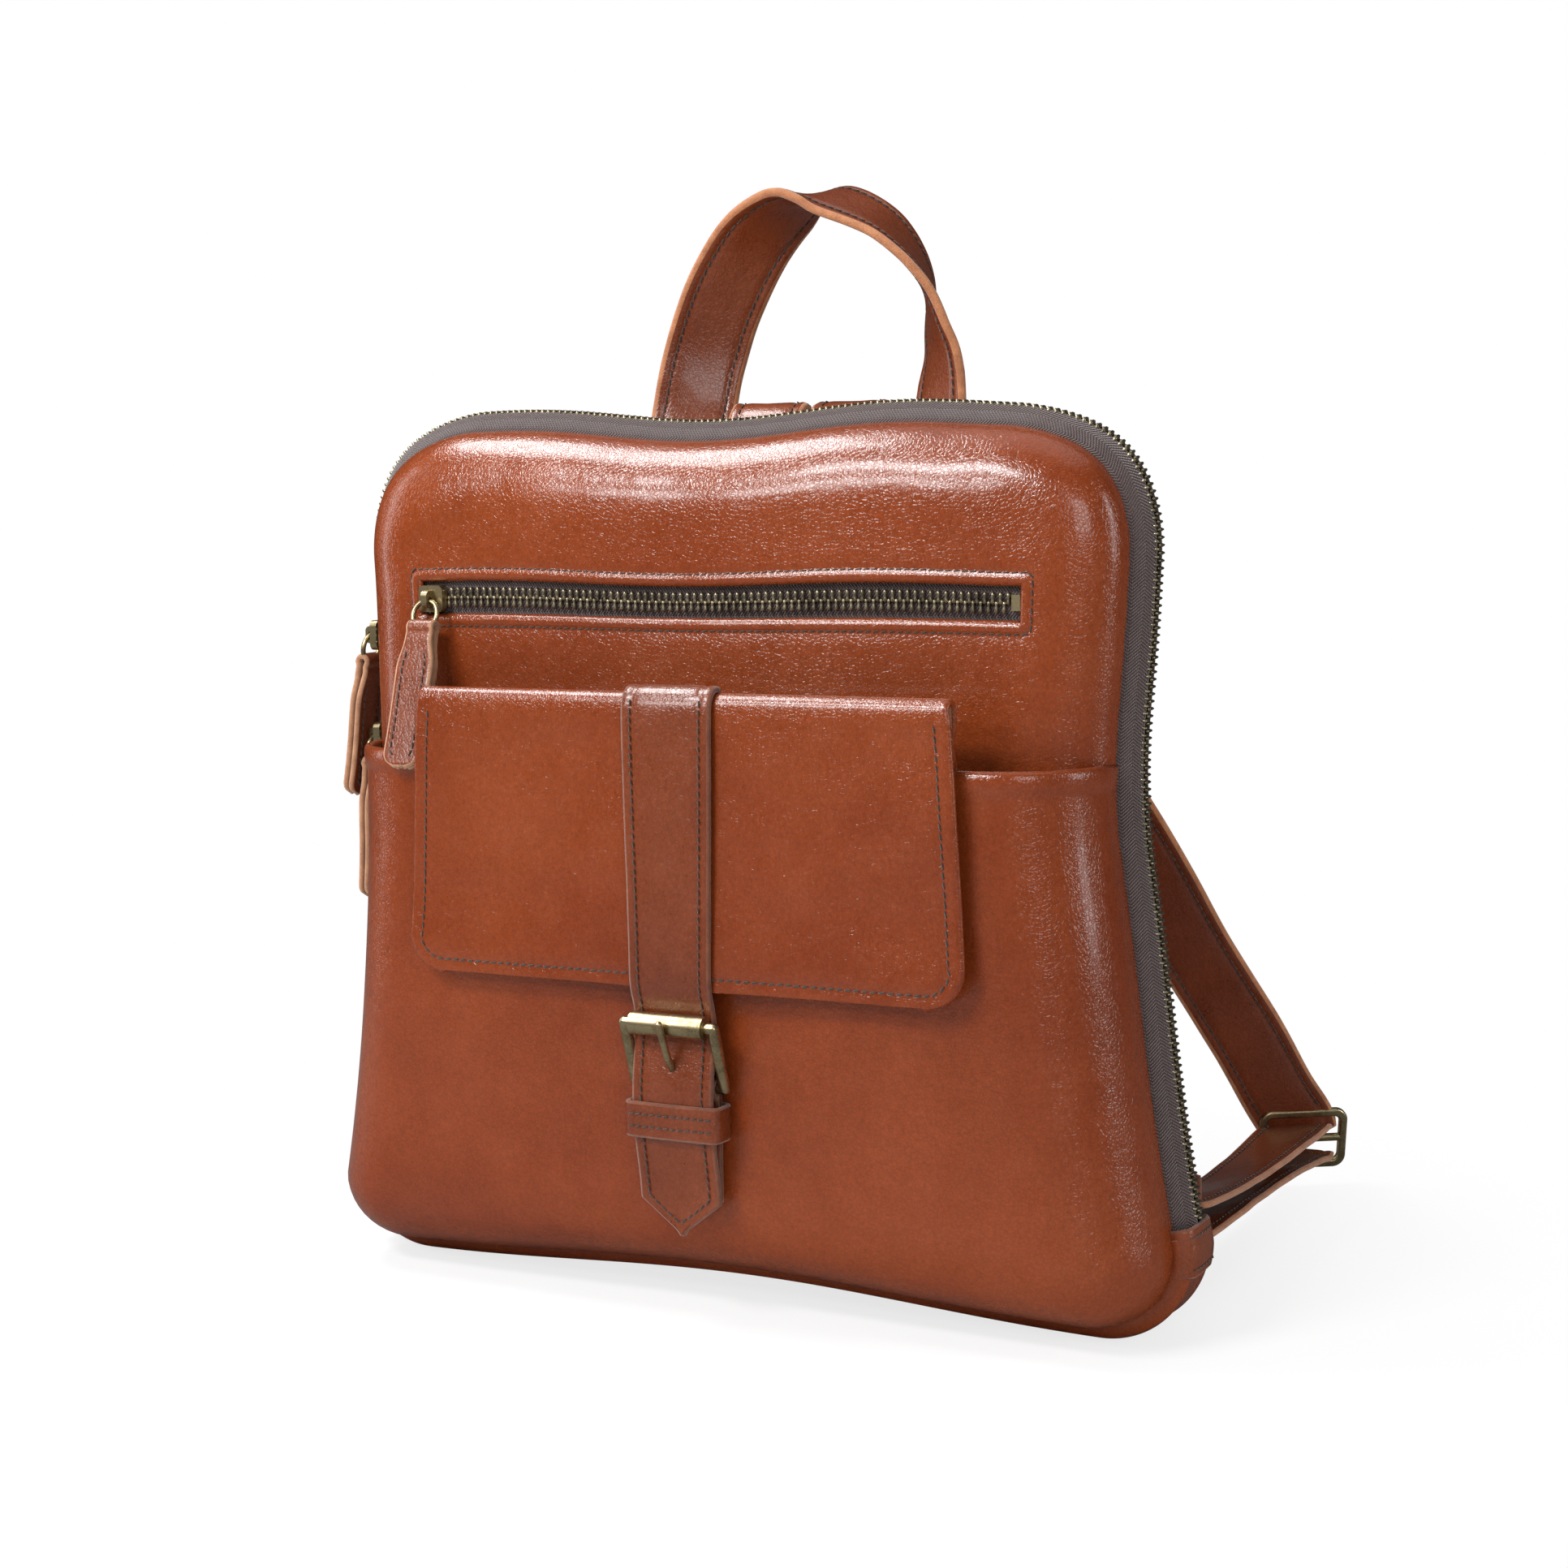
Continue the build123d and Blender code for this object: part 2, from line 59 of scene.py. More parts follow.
# ---------------------------------------------------------------- sizes, in millimetres
HEIGHT = 308.0
TOP_RADIUS, TOP_CENTRE = 50.0, (101.0, 258.0)
LOW_RADIUS, LOW_CENTRE = 33.0, (133.5, 33.0)
SIDE_X, SIDE_Z = 151.0, 165.0
WAIST = (156.0, 100.0)
LEATHER = 2.2
ZIP_END = 38.0
WINDOW_HALF, WINDOW_Z, WINDOW_TALL = 115.5, 245.2, 12.0
POCKET_TOP = 192.0
STITCH_PITCH = 3.1
MAIN_PITCH, WINDOW_PITCH = 2.40, 2.74


def mm_box(node):
    low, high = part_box(node)
    return np.array(low) / MM, np.array(high) / MM


# ---------------------------------------------------------------- small maths

def smoothstep(low, high, value):
    t = np.clip((np.asarray(value, float) - low) / (high - low), 0.0, 1.0)
    return t * t * (3 - 2 * t)


def unit(vectors):
    length = np.linalg.norm(vectors, axis=-1, keepdims=True)
    return vectors / np.maximum(length, 1e-9)


def catmull(points, count):
    """Evenly spaced points on a smooth curve through the given ones."""
    points = np.asarray(points, float)
    padded = np.vstack([2 * points[0] - points[1], points, 2 * points[-1] - points[-2]])
    dense = []
    for k in range(len(points) - 1):
        a, b, c, d = padded[k:k + 4]
        for t in np.linspace(0, 1, 24, endpoint=False):
            dense.append(0.5 * (2 * b + (c - a) * t + (2 * a - 5 * b + 4 * c - d) * t ** 2
                                + (3 * b - a - 3 * c + d) * t ** 3))
    dense.append(points[-1])
    return resample(np.array(dense), count)


def resample(points, count):
    """The same line with evenly spaced points."""
    step = np.linalg.norm(np.diff(points, axis=0), axis=1)
    length = np.concatenate([[0], np.cumsum(step)])
    wanted = np.linspace(0, length[-1], count)
    return np.stack([np.interp(wanted, length, points[:, k]) for k in range(points.shape[1])], axis=1)


def line_length(points):
    return float(np.linalg.norm(np.diff(points, axis=0), axis=1).sum())


def bumpy(points, scale, seed):
    """Smooth noise between about -1 and 1 at each point."""
    flat = np.asarray(points, float).reshape(-1, 3)
    offset = Vector((seed * 17.3, seed * 5.1, seed * 9.7))
    values = [noise.noise(Vector(p) / scale + offset) for p in flat]
    return np.array(values).reshape(np.asarray(points).shape[:-1])


# ---------------------------------------------------------------- mesh pieces

def solid_sheet(grid, thickness, flip=False, rim_steps=3):
    """A closed sheet around a grid of middle points, with a rounded rim.

    Faces are marked 0 on the outer side, 1 on the inner side and 2 on the rim."""
    if flip:
        grid = grid[:, ::-1]
        if isinstance(thickness, np.ndarray):
            thickness = thickness[:, ::-1]
    rows, columns, _ = grid.shape
    half = np.broadcast_to(np.asarray(thickness, float) / 2, (rows, columns))
    across = np.gradient(grid, axis=1)
    along = np.gradient(grid, axis=0)
    normal = unit(np.cross(across, along))
    front = grid + normal * half[..., None]
    back = grid - normal * half[..., None]
    bottom = [(0, j) for j in range(columns)]
    right = [(i, columns - 1) for i in range(1, rows)]
    top = [(rows - 1, j) for j in range(columns - 2, -1, -1)]
    left = [(i, 0) for i in range(rows - 2, 0, -1)]
    loop = bottom + right + top + left
    out = np.zeros_like(grid)
    out[0] -= unit(along[0])
    out[-1] += unit(along[-1])
    out[:, 0] -= unit(across[:, 0])
    out[:, -1] += unit(across[:, -1])
    ring = np.array(loop)
    edge = grid[ring[:, 0], ring[:, 1]]
    edge_normal = normal[ring[:, 0], ring[:, 1]]
    edge_out = out[ring[:, 0], ring[:, 1]]
    edge_out = unit(edge_out - edge_normal * (edge_out * edge_normal).sum(1, keepdims=True))
    edge_half = half[ring[:, 0], ring[:, 1]][:, None]
    rims = []
    for k in range(1, rim_steps + 1):
        angle = math.pi * k / (rim_steps + 1)
        rims.append(edge + edge_half * (edge_out * math.sin(angle) + edge_normal * math.cos(angle)))
    count = rows * columns
    points = np.vstack([front.reshape(-1, 3), back.reshape(-1, 3)] + rims)
    i, j = np.meshgrid(np.arange(rows - 1), np.arange(columns - 1), indexing="ij")
    a = (i * columns + j).ravel()
    quads = np.stack([a, a + 1, a + columns + 1, a + columns], axis=1)
    faces = [quads, quads[:, ::-1] + count]
    marks = [np.zeros(len(quads), int), np.ones(len(quads), int)]
    size = len(loop)
    front_loop = ring[:, 0] * columns + ring[:, 1]
    levels = [front_loop] + [2 * count + k * size + np.arange(size) for k in range(rim_steps)]
    levels.append(front_loop + count)
    for upper, lower in zip(levels[:-1], levels[1:]):
        faces.append(np.stack([upper, lower, np.roll(lower, -1), np.roll(upper, -1)], axis=1))
        marks.append(np.full(size, 2))
    return points, np.vstack(faces), np.concatenate(marks)


def sheet_uv(grid, flip=False, rim_steps=3):
    """Lengths along and across the sheet at each point that solid_sheet makes, in metres."""
    if flip:
        grid = grid[:, ::-1]
    rows, columns, _ = grid.shape
    step = np.linalg.norm(np.diff(grid, axis=0), axis=2)
    along = np.vstack([np.zeros((1, columns)), np.cumsum(step, axis=0)])
    along = np.repeat(along.mean(1, keepdims=True), columns, axis=1)
    step = np.linalg.norm(np.diff(grid, axis=1), axis=2)
    across = np.hstack([np.zeros((rows, 1)), np.cumsum(step, axis=1)])
    uv = np.stack([along, across], axis=2).reshape(-1, 2)
    loop = [(0, j) for j in range(columns)] + [(i, columns - 1) for i in range(1, rows)]
    loop += [(rows - 1, j) for j in range(columns - 2, -1, -1)] + [(i, 0) for i in range(rows - 2, 0, -1)]
    ring = np.array(loop)
    rim = uv.reshape(rows, columns, 2)[ring[:, 0], ring[:, 1]]
    return np.vstack([uv, uv] + [rim] * rim_steps) * MM


def make_piece(name, points, faces, materials, body, marks=None, uv=None, replaces=()):
    """A mesh object from points in millimetres, riding on a body."""
    mesh = bpy.data.meshes.new(name)
    mesh.from_pydata((np.asarray(points) * MM).tolist(), [], [tuple(map(int, face)) for face in faces])
    for material in materials:
        mesh.materials.append(material)
    if marks is not None:
        limit = len(materials) - 1
        mesh.polygons.foreach_set("material_index", np.minimum(marks, limit).astype(np.int32))
    mesh.polygons.foreach_set("use_smooth", np.ones(len(mesh.polygons), bool))
    if uv is not None:
        layer = mesh.uv_layers.new(name="lengths")
        index = np.empty(len(mesh.loops), np.int32)
        mesh.loops.foreach_get("vertex_index", index)
        layer.data.foreach_set("uv", uv[index].astype(np.float32).ravel())
    mesh.update()
    piece = bpy.data.objects.new(name, mesh)
    bpy.context.scene.collection.objects.link(piece)
    if body:
        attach(piece, body)
    if replaces:
        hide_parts(*replaces)
    return piece


MIDDLE = (0.0, 0.0, 150.0)


def faces_in(grid, away):
    """Whether the sheet's outer side would face the given point."""
    normal = np.cross(np.gradient(grid, axis=1), np.gradient(grid, axis=0))
    return float((normal * (grid - np.asarray(away))).sum()) < 0


def sheet_piece(name, grid, thickness, materials, body, away=MIDDLE, replaces=()):
    flip = faces_in(grid, away)
    points, faces, marks = solid_sheet(grid, thickness, flip)
    uv = sheet_uv(grid, flip)
    return make_piece(name, points, faces, materials, body, marks, uv, replaces)


def ribbon_grid(path, across, half_widths, offsets):
    """Rows of points across a strap; offsets run from -1 to 1 over its width."""
    along = unit(np.gradient(path, axis=0))
    across = unit(across - along * (across * along).sum(1, keepdims=True))
    return path[:, None] + across[:, None] * (np.asarray(half_widths)[:, None, None] * offsets[None, :, None])


def strap_offsets(half_width, groove=3.0):
    """Places across a strap that give its edges and stitch grooves enough points."""
    inner = 1 - groove / half_width
    marks = [0, 0.35 * (1 - inner), 0.7 * (1 - inner), 1 - inner, 1.35 * (1 - inner), 1.9 * (1 - inner)]
    left = [-1 + m for m in marks]
    middle = np.linspace(left[-1], -left[-1], 7)[1:-1]
    return np.array(left + list(middle) + [-m for m in reversed(left)])


def puffed(offsets, half_width, thickness, groove=3.0):
    """Thickness across a stitched strap: pinched at the stitch lines."""
    distance = (1 - np.abs(offsets)) * half_width
    pinch = np.exp(-((distance - groove) / 0.9) ** 2)
    return thickness * (1 - 0.3 * pinch) * (0.90 + 0.10 * smoothstep(0, 1.5, distance))


def capsule(sides=6):
    """A stitch: a small rounded rod along X of unit half length and unit radius."""
    rings = [(-1.0, 0.45), (-0.7, 0.95), (0.0, 1.0), (0.7, 0.95), (1.0, 0.45)]
    points = [(x, r * math.cos(2 * math.pi * k / sides), r * math.sin(2 * math.pi * k / sides))
              for x, r in rings for k in range(sides)]
    faces = []
    for row in range(len(rings) - 1):
        for k in range(sides):
            a, b = row * sides + k, row * sides + (k + 1) % sides
            faces.append((a, a + sides, b + sides, b))
    caps = [tuple(range(sides)), tuple(range(len(points) - 1, len(points) - 1 - sides, -1))]
    return np.array(points), faces, caps


def scatter(template, origins, axis_x, axis_y, axis_z, sizes):
    """Copies of a template mesh, each turned to its own axes."""
    points, quads, caps = template
    scaled = points[None] * np.asarray(sizes, float).reshape(-1, 1, 3)
    placed = (origins[:, None] + scaled[..., 0:1] * axis_x[:, None] + scaled[..., 1:2] * axis_y[:, None]
              + scaled[..., 2:3] * axis_z[:, None])
    faces = []
    for k in range(len(origins)):
        shift = k * len(points)
        faces += [tuple(v + shift for v in f) for f in quads + caps]
    return placed.reshape(-1, 3), faces


def stitch_points(lines, pitch=STITCH_PITCH, radius=0.36, lift=0.18):
    """Stitches along lines, each given as (points, normals)."""
    all_points, all_faces, base = [], [], 0
    for points, normals in lines:
        count = max(int(round(line_length(points) / pitch)), 2)
        step = np.linalg.norm(np.diff(points, axis=0), axis=1)
        length = np.concatenate([[0], np.cumsum(step)])
        wanted = (np.arange(count) + 0.5) * length[-1] / count
        centre = np.stack([np.interp(wanted, length, points[:, k]) for k in range(3)], 1)
        normal = unit(np.stack([np.interp(wanted, length, normals[:, k]) for k in range(3)], 1))
        ahead = np.stack([np.interp(wanted + 0.6, length, points[:, k]) for k in range(3)], 1)
        behind = np.stack([np.interp(wanted - 0.6, length, points[:, k]) for k in range(3)], 1)
        along = unit(ahead - behind)
        side = unit(np.cross(normal, along))
        slant = math.radians(9)
        along = unit(along * math.cos(slant) + side * math.sin(slant))
        side = unit(np.cross(normal, along))
        sizes = np.tile([pitch * 0.40, radius, radius * 0.8], (count, 1))
        sizes[:, 0] *= RNG.uniform(0.92, 1.05, count)
        origin = centre + normal * lift
        placed, faces = scatter(capsule(), origin, along, side, normal, sizes)
        all_points.append(placed)
        all_faces += [tuple(v + base for v in f) for f in faces]
        base += len(placed)
    return np.vstack(all_points), all_faces


def strap_stitches(path, across, half_widths, thickness, inset=3.0, sides=(1,), trim=4):
    """Stitch lines along both edges of a strap, on the given sides of it."""
    along = unit(np.gradient(path, axis=0))
    across = unit(across - along * (across * along).sum(1, keepdims=True))
    normal = np.cross(across, along)
    lines = []
    for side in sides:
        for edge in (-1, 1):
            reach = np.maximum(np.asarray(half_widths) - inset, 0.2)[:, None]
            line = path + across * edge * reach + normal * side * thickness / 2 * 0.86
            lines.append((line[trim:-trim], normal[trim:-trim] * side))
    return lines


# ---------------------------------------------------------------- the bag's outline

def waist_circle():
    """Centre and radius of the hollow curve of each side."""
    points = np.array([(LOW_CENTRE[0] + LOW_RADIUS, LOW_CENTRE[1]), WAIST, (SIDE_X, SIDE_Z)])
    a = 2 * (points[1:] - points[0])
    b = (points[1:] ** 2).sum(1) - (points[0] ** 2).sum()
    centre = np.linalg.solve(a, b)
    return centre, float(np.linalg.norm(points[0] - centre))


WAIST_CENTRE, WAIST_RADIUS = waist_circle()


def half_width(z, inset=0.0):
    """Half the bag's width at a height, for the outline stepped in by inset."""
    z = np.asarray(z, float)
    top_radius = TOP_RADIUS - inset
    low_radius = LOW_RADIUS - inset
    top = TOP_CENTRE[0] + np.sqrt(np.maximum(top_radius ** 2 - (z - TOP_CENTRE[1]) ** 2, 0))
    low = LOW_CENTRE[0] + np.sqrt(np.maximum(low_radius ** 2 - (z - LOW_CENTRE[1]) ** 2, 0))
    waist = WAIST_CENTRE[0] - np.sqrt(np.maximum(WAIST_RADIUS ** 2 - (z - WAIST_CENTRE[1]) ** 2, 0)) - inset
    side = np.where(z > SIDE_Z, SIDE_X - inset, waist)
    side = np.where(z > TOP_CENTRE[1], top, side)
    return np.where(z < LOW_CENTRE[1], low, side)


def outline_path(count=2000):
    """The whole outline as (x, z), from the bottom middle up the right side and round."""
    low_angles = np.linspace(-90, 0, 60)
    top_angles = np.linspace(0, 90, 80)
    right = [(LOW_CENTRE[0] * t, 0.0) for t in np.linspace(0, 1, 60, endpoint=False)]
    right += [(LOW_CENTRE[0] + LOW_RADIUS * math.cos(math.radians(a)),
               LOW_CENTRE[1] + LOW_RADIUS * math.sin(math.radians(a))) for a in low_angles]
    heights = np.linspace(LOW_CENTRE[1], TOP_CENTRE[1], 200)[1:]
    right += list(zip(half_width(heights), heights))
    right += [(TOP_CENTRE[0] + TOP_RADIUS * math.cos(math.radians(a)),
               TOP_CENTRE[1] + TOP_RADIUS * math.sin(math.radians(a))) for a in top_angles[1:]]
    right += [(TOP_CENTRE[0] * (1 - t), HEIGHT) for t in np.linspace(0, 1, 60)[1:]]
    right = np.array(right)
    left = right[::-1][1:] * [-1, 1]
    return resample(np.vstack([right, left]), count + 1)[:-1]


OUTLINE = outline_path()


def inset_of(x, z):
    """Distance from points to the outline."""
    points = np.stack([np.ravel(x), np.ravel(z)], 1)
    best = np.full(len(points), 1e9)
    for start in range(0, len(OUTLINE), 100):
        part = OUTLINE[start:start + 100]
        distance = np.linalg.norm(points[:, None] - part[None], axis=2).min(1)
        best = np.minimum(best, distance)
    return best.reshape(np.shape(x))


def hoop_path(count):
    """(x, z) and outward normals from the left zip end over the top to the right one."""
    keep = OUTLINE[:, 1] >= ZIP_END - 0.2
    right = OUTLINE[keep & (OUTLINE[:, 0] > 0)]
    left = OUTLINE[keep & (OUTLINE[:, 0] <= 0)]
    path = resample(np.vstack([right, left])[::-1], count)
    return path, turned(path)


def base_path(count, top=ZIP_END):
    """(x, z) and outward normals from the right side round the bottom to the left side."""
    low = OUTLINE[OUTLINE[:, 1] <= top]
    right = low[low[:, 0] >= 0]
    left = low[low[:, 0] < 0]
    path = resample(np.vstack([left, right])[::-1], count)
    return path, turned(path)


def turned(path):
    along = unit(np.gradient(path, axis=0))
    return np.stack([-along[:, 1], along[:, 0]], 1)


def hoop_grid(path, normal, section):
    """A strip that follows the outline; section lists (inset, y) across it."""
    rows = []
    for inset, y in section:
        flat = path - normal * inset
        rows.append(np.stack([flat[:, 0], np.full(len(path), float(y)), flat[:, 1]], 1))
    return np.stack(rows, 1)


def settle(points):
    """Lets the top edge wave, fills its corners, draws in the right side and bows the bottom up."""
    points = np.array(points, float)
    x, z = points[..., 0].copy(), points[..., 2].copy()
    wave = 5.0 * np.sin(math.pi * np.clip(np.abs(x + 10), 0, 150) / 150) ** 2 - 2.9
    points[..., 2] += wave * smoothstep(215, 308, z) * (1 - smoothstep(95, 150, np.abs(x)) * 0.6)
    corner = 2.8 * np.exp(-((np.abs(x) - 136) ** 2 + (z - 292) ** 2) / (2 * 20.0 ** 2))
    points[..., 0] += np.sign(x) * corner
    points[..., 2] += corner
    waist = 4.6 * np.exp(-((z - 188) / 42.0) ** 2) * smoothstep(70, 150, x)
    points[..., 0] -= waist
    bow = 5.5 * np.cos(math.pi * np.clip(x / 280, -0.5, 0.5)) ** 2
    points[..., 2] += bow * (1 - smoothstep(0, 75, z))
    return points


# ---------------------------------------------------------------- materials

class Graph:
    """Short hand for building a node material."""

    def __init__(self, name):
        self.material = bpy.data.materials.new(name)
        self.material.use_nodes = True
        self.tree = self.material.node_tree
        self.tree.nodes.clear()
        self.output = self.tree.nodes.new("ShaderNodeOutputMaterial")
        self.shader = self.tree.nodes.new("ShaderNodeBsdfPrincipled")
        self.link(self.shader.outputs[0], self.output.inputs[0])

    def link(self, source, target):
        self.tree.links.new(source, target)

    def node(self, kind, **values):
        made = self.tree.nodes.new("ShaderNode" + kind)
        for key, value in values.items():
            target = made.inputs[key] if key in made.inputs else None
            if target is None:
                setattr(made, key, value)
            elif isinstance(value, bpy.types.NodeSocket):
                self.link(value, target)
            else:
                target.default_value = value
        return made

    def math(self, operation, a, b=0.0, c=0.0):
        made = self.tree.nodes.new("ShaderNodeMath")
        made.operation = operation
        for slot, value in zip(made.inputs, (a, b, c)):
            if isinstance(value, bpy.types.NodeSocket):
                self.link(value, slot)
            else:
                slot.default_value = value
        return made.outputs[0]

    def ramp(self, factor, stops):
        made = self.tree.nodes.new("ShaderNodeValToRGB")
        self.link(factor, made.inputs[0])
        elements = made.color_ramp.elements
        while len(elements) < len(stops):
            elements.new(0.5)
        for element, (place, colour) in zip(elements, stops):
            element.position = place
            element.color = (*colour, 1)
        return made.outputs[0]

    def remap(self, value, low, high, to_low, to_high):
        made = self.node("MapRange")
        self.link(value, made.inputs["Value"])
        made.inputs["From Min"].default_value = low
        made.inputs["From Max"].default_value = high
        made.inputs["To Min"].default_value = to_low
        made.inputs["To Max"].default_value = to_high
        return made.outputs[0]

    def mix(self, factor, a, b, blend="MIX"):
        made = self.tree.nodes.new("ShaderNodeMix")
        made.data_type = "RGBA"
        made.blend_type = blend
        slots = (made.inputs[0], made.inputs[6], made.inputs[7])
        for slot, value in zip(slots, (factor, a, b)):
            if isinstance(value, bpy.types.NodeSocket):
                self.link(value, slot)
            elif isinstance(value, tuple):
                slot.default_value = (*value, 1)
            else:
                slot.default_value = value
        return made.outputs[2]

    def bump(self, height, distance, strength=1.0, below=None):
        made = self.node("Bump")
        made.inputs["Strength"].default_value = strength
        made.inputs["Distance"].default_value = distance
        self.link(height, made.inputs["Height"])
        if below is not None:
            self.link(below, made.inputs["Normal"])
        return made.outputs[0]

    def place(self, scale=(1, 1, 1)):
        coordinates = self.node("TexCoord")
        mapping = self.node("Mapping")
        mapping.inputs["Scale"].default_value = scale
        self.link(coordinates.outputs["Object"], mapping.inputs["Vector"])
        return mapping.outputs[0]


def leather_material(name, dark, mid, light, roughness=(0.17, 0.27), coat=0.25, grain=1.0):
    g = Graph(name)
    place = g.place()
    broad = g.node("TexNoise", Vector=place, Scale=11.0, Detail=3.0).outputs["Fac"]
    mottle = g.node("TexNoise", Vector=place, Scale=85.0, Detail=6.0, Roughness=0.62).outputs["Fac"]
    speck = g.node("TexNoise", Vector=place, Scale=620.0, Detail=3.0, Roughness=0.6).outputs["Fac"]
    warp = g.node("TexNoise", Vector=place, Scale=240.0, Detail=2.0).outputs["Color"]
    bent = g.mix(0.0016, place, warp, "ADD")
    cells = g.node("TexVoronoi", feature="DISTANCE_TO_EDGE", Vector=bent,
                   Scale=760.0 / grain).outputs["Distance"]
    coarse = g.node("TexVoronoi", feature="DISTANCE_TO_EDGE", Vector=bent,
                    Scale=250.0 / grain).outputs["Distance"]
    tone = g.math("ADD", g.math("MULTIPLY", broad, 0.74), g.math("MULTIPLY", mottle, 0.26))
    colour = g.ramp(tone, [(0.32, dark), (0.50, mid), (0.70, light)])
    crease = g.remap(cells, 0.0, 0.12, 0.82, 1.0)
    fleck = g.remap(speck, 0.35, 0.7, 0.90, 1.10)
    shade = g.math("MULTIPLY", crease, fleck)
    grey = g.node("CombineColor")
    for socket in grey.inputs:
        g.link(shade, socket)
    colour = g.mix(1.0, colour, grey.outputs[0], "MULTIPLY")
    g.link(colour, g.shader.inputs["Base Color"])
    gloss = g.math("ADD", g.math("MULTIPLY", mottle, 0.6), g.math("MULTIPLY", speck, 0.4))
    g.link(g.remap(gloss, 0.3, 0.7, *roughness), g.shader.inputs["Roughness"])
    g.shader.inputs["Specular IOR Level"].default_value = 0.50
    g.shader.inputs["Coat Weight"].default_value = coat
    g.shader.inputs["Coat Roughness"].default_value = 0.13
    long_creases = g.node("TexNoise", Vector=g.place((60, 60, 22)), Scale=1.0, Detail=4.0,
                          Roughness=0.6).outputs["Fac"]
    normal = g.bump(long_creases, 0.0011, 0.55)
    normal = g.bump(mottle, 0.00028, 0.35, normal)
    normal = g.bump(g.remap(coarse, 0.0, 0.20, 0.0, 1.0), 0.00007, 0.5, normal)
    normal = g.bump(g.remap(cells, 0.0, 0.22, 0.0, 1.0), 0.00007, 0.7, normal)
    normal = g.bump(speck, 0.00003, 0.4, normal)
    g.link(normal, g.shader.inputs["Normal"])
    return g.material


def suede_material(name, dark, light):
    g = Graph(name)
    place = g.place()
    broad = g.node("TexNoise", Vector=place, Scale=160.0, Detail=5.0, Roughness=0.7).outputs["Fac"]
    fibre = g.node("TexNoise", Vector=place, Scale=1900.0, Detail=3.0, Roughness=0.7).outputs["Fac"]
    tone = g.math("ADD", g.math("MULTIPLY", broad, 0.6), g.math("MULTIPLY", fibre, 0.4))
    g.link(g.ramp(tone, [(0.35, dark), (0.65, light)]), g.shader.inputs["Base Color"])
    g.shader.inputs["Roughness"].default_value = 0.9
    g.shader.inputs["Sheen Weight"].default_value = 0.25
    normal = g.bump(broad, 0.0004, 0.5)
    g.link(g.bump(fibre, 0.00022, 0.8, normal), g.shader.inputs["Normal"])
    return g.material


def brass_material(name, bright, dark, roughness):
    g = Graph(name)
    place = g.place()
    broad = g.node("TexNoise", Vector=place, Scale=140.0, Detail=5.0, Roughness=0.65).outputs["Fac"]
    fine = g.node("TexNoise", Vector=place, Scale=1500.0, Detail=3.0).outputs["Fac"]
    tone = g.math("ADD", g.math("MULTIPLY", broad, 0.7), g.math("MULTIPLY", fine, 0.3))
    g.link(g.ramp(tone, [(0.34, dark), (0.56, bright)]), g.shader.inputs["Base Color"])
    g.shader.inputs["Metallic"].default_value = 1.0
    g.link(g.remap(tone, 0.3, 0.7, roughness + 0.14, roughness - 0.06), g.shader.inputs["Roughness"])
    g.link(g.bump(fine, 0.00004, 0.4, g.bump(broad, 0.0001, 0.3)), g.shader.inputs["Normal"])
    return g.material


def woven_material(name, dark, light, pitch=0.0009, chevron=0.0034):
    """Herringbone tape or cloth, woven along its own lengths."""
    g = Graph(name)
    uv = g.node("UVMap", uv_map="lengths").outputs[0]
    parts = g.node("SeparateXYZ", Vector=uv)
    folded = g.math("PINGPONG", parts.outputs["Y"], chevron)
    phase = g.math("DIVIDE", g.math("ADD", parts.outputs["X"], g.math("MULTIPLY", folded, 0.8)), pitch)
    rib = g.math("SINE", g.math("MULTIPLY", phase, 2 * math.pi))
    cross = g.math("SINE", g.math("DIVIDE", parts.outputs["Y"], pitch * 0.09))
    height = g.math("ADD", g.math("MULTIPLY", rib, 0.4), g.math("MULTIPLY", cross, 0.12))
    fuzz = g.node("TexNoise", Vector=g.place(), Scale=1400.0, Detail=3.0).outputs["Fac"]
    tone = g.math("ADD", g.remap(height, -0.5, 0.5, 0.1, 0.9), g.math("MULTIPLY", g.math("SUBTRACT", fuzz,
            0.5), 0.7))
    g.link(g.ramp(tone, [(0.15, dark), (0.85, light)]), g.shader.inputs["Base Color"])
    g.shader.inputs["Roughness"].default_value = 0.82
    g.shader.inputs["Sheen Weight"].default_value = 0.3
    g.link(g.bump(fuzz, 0.0001, 0.4, g.bump(height, 0.0005, 1.0)), g.shader.inputs["Normal"])
    return g.material


def cloth_material(name, dark, light, pitch=0.0007):
    """Plain weave that needs no lengths: crossed fine waves in the object's own space."""
    g = Graph(name)
    place = g.place()
    parts = g.node("SeparateXYZ", Vector=place)
    warp = g.math("SINE", g.math("DIVIDE", parts.outputs["X"], pitch / 6.283))
    weft = g.math("SINE", g.math("DIVIDE", parts.outputs["Z"], pitch / 6.283))
    height = g.math("MULTIPLY", warp, weft)
    fuzz = g.node("TexNoise", Vector=place, Scale=500.0, Detail=4.0).outputs["Fac"]
    tone = g.math("ADD", g.remap(height, -1.0, 1.0, 0.2, 0.6), g.math("MULTIPLY", fuzz, 0.4))
    g.link(g.ramp(tone, [(0.3, dark), (0.75, light)]), g.shader.inputs["Base Color"])
    g.shader.inputs["Roughness"].default_value = 0.88
    g.link(g.bump(height, 0.00015, 0.6), g.shader.inputs["Normal"])
    return g.material


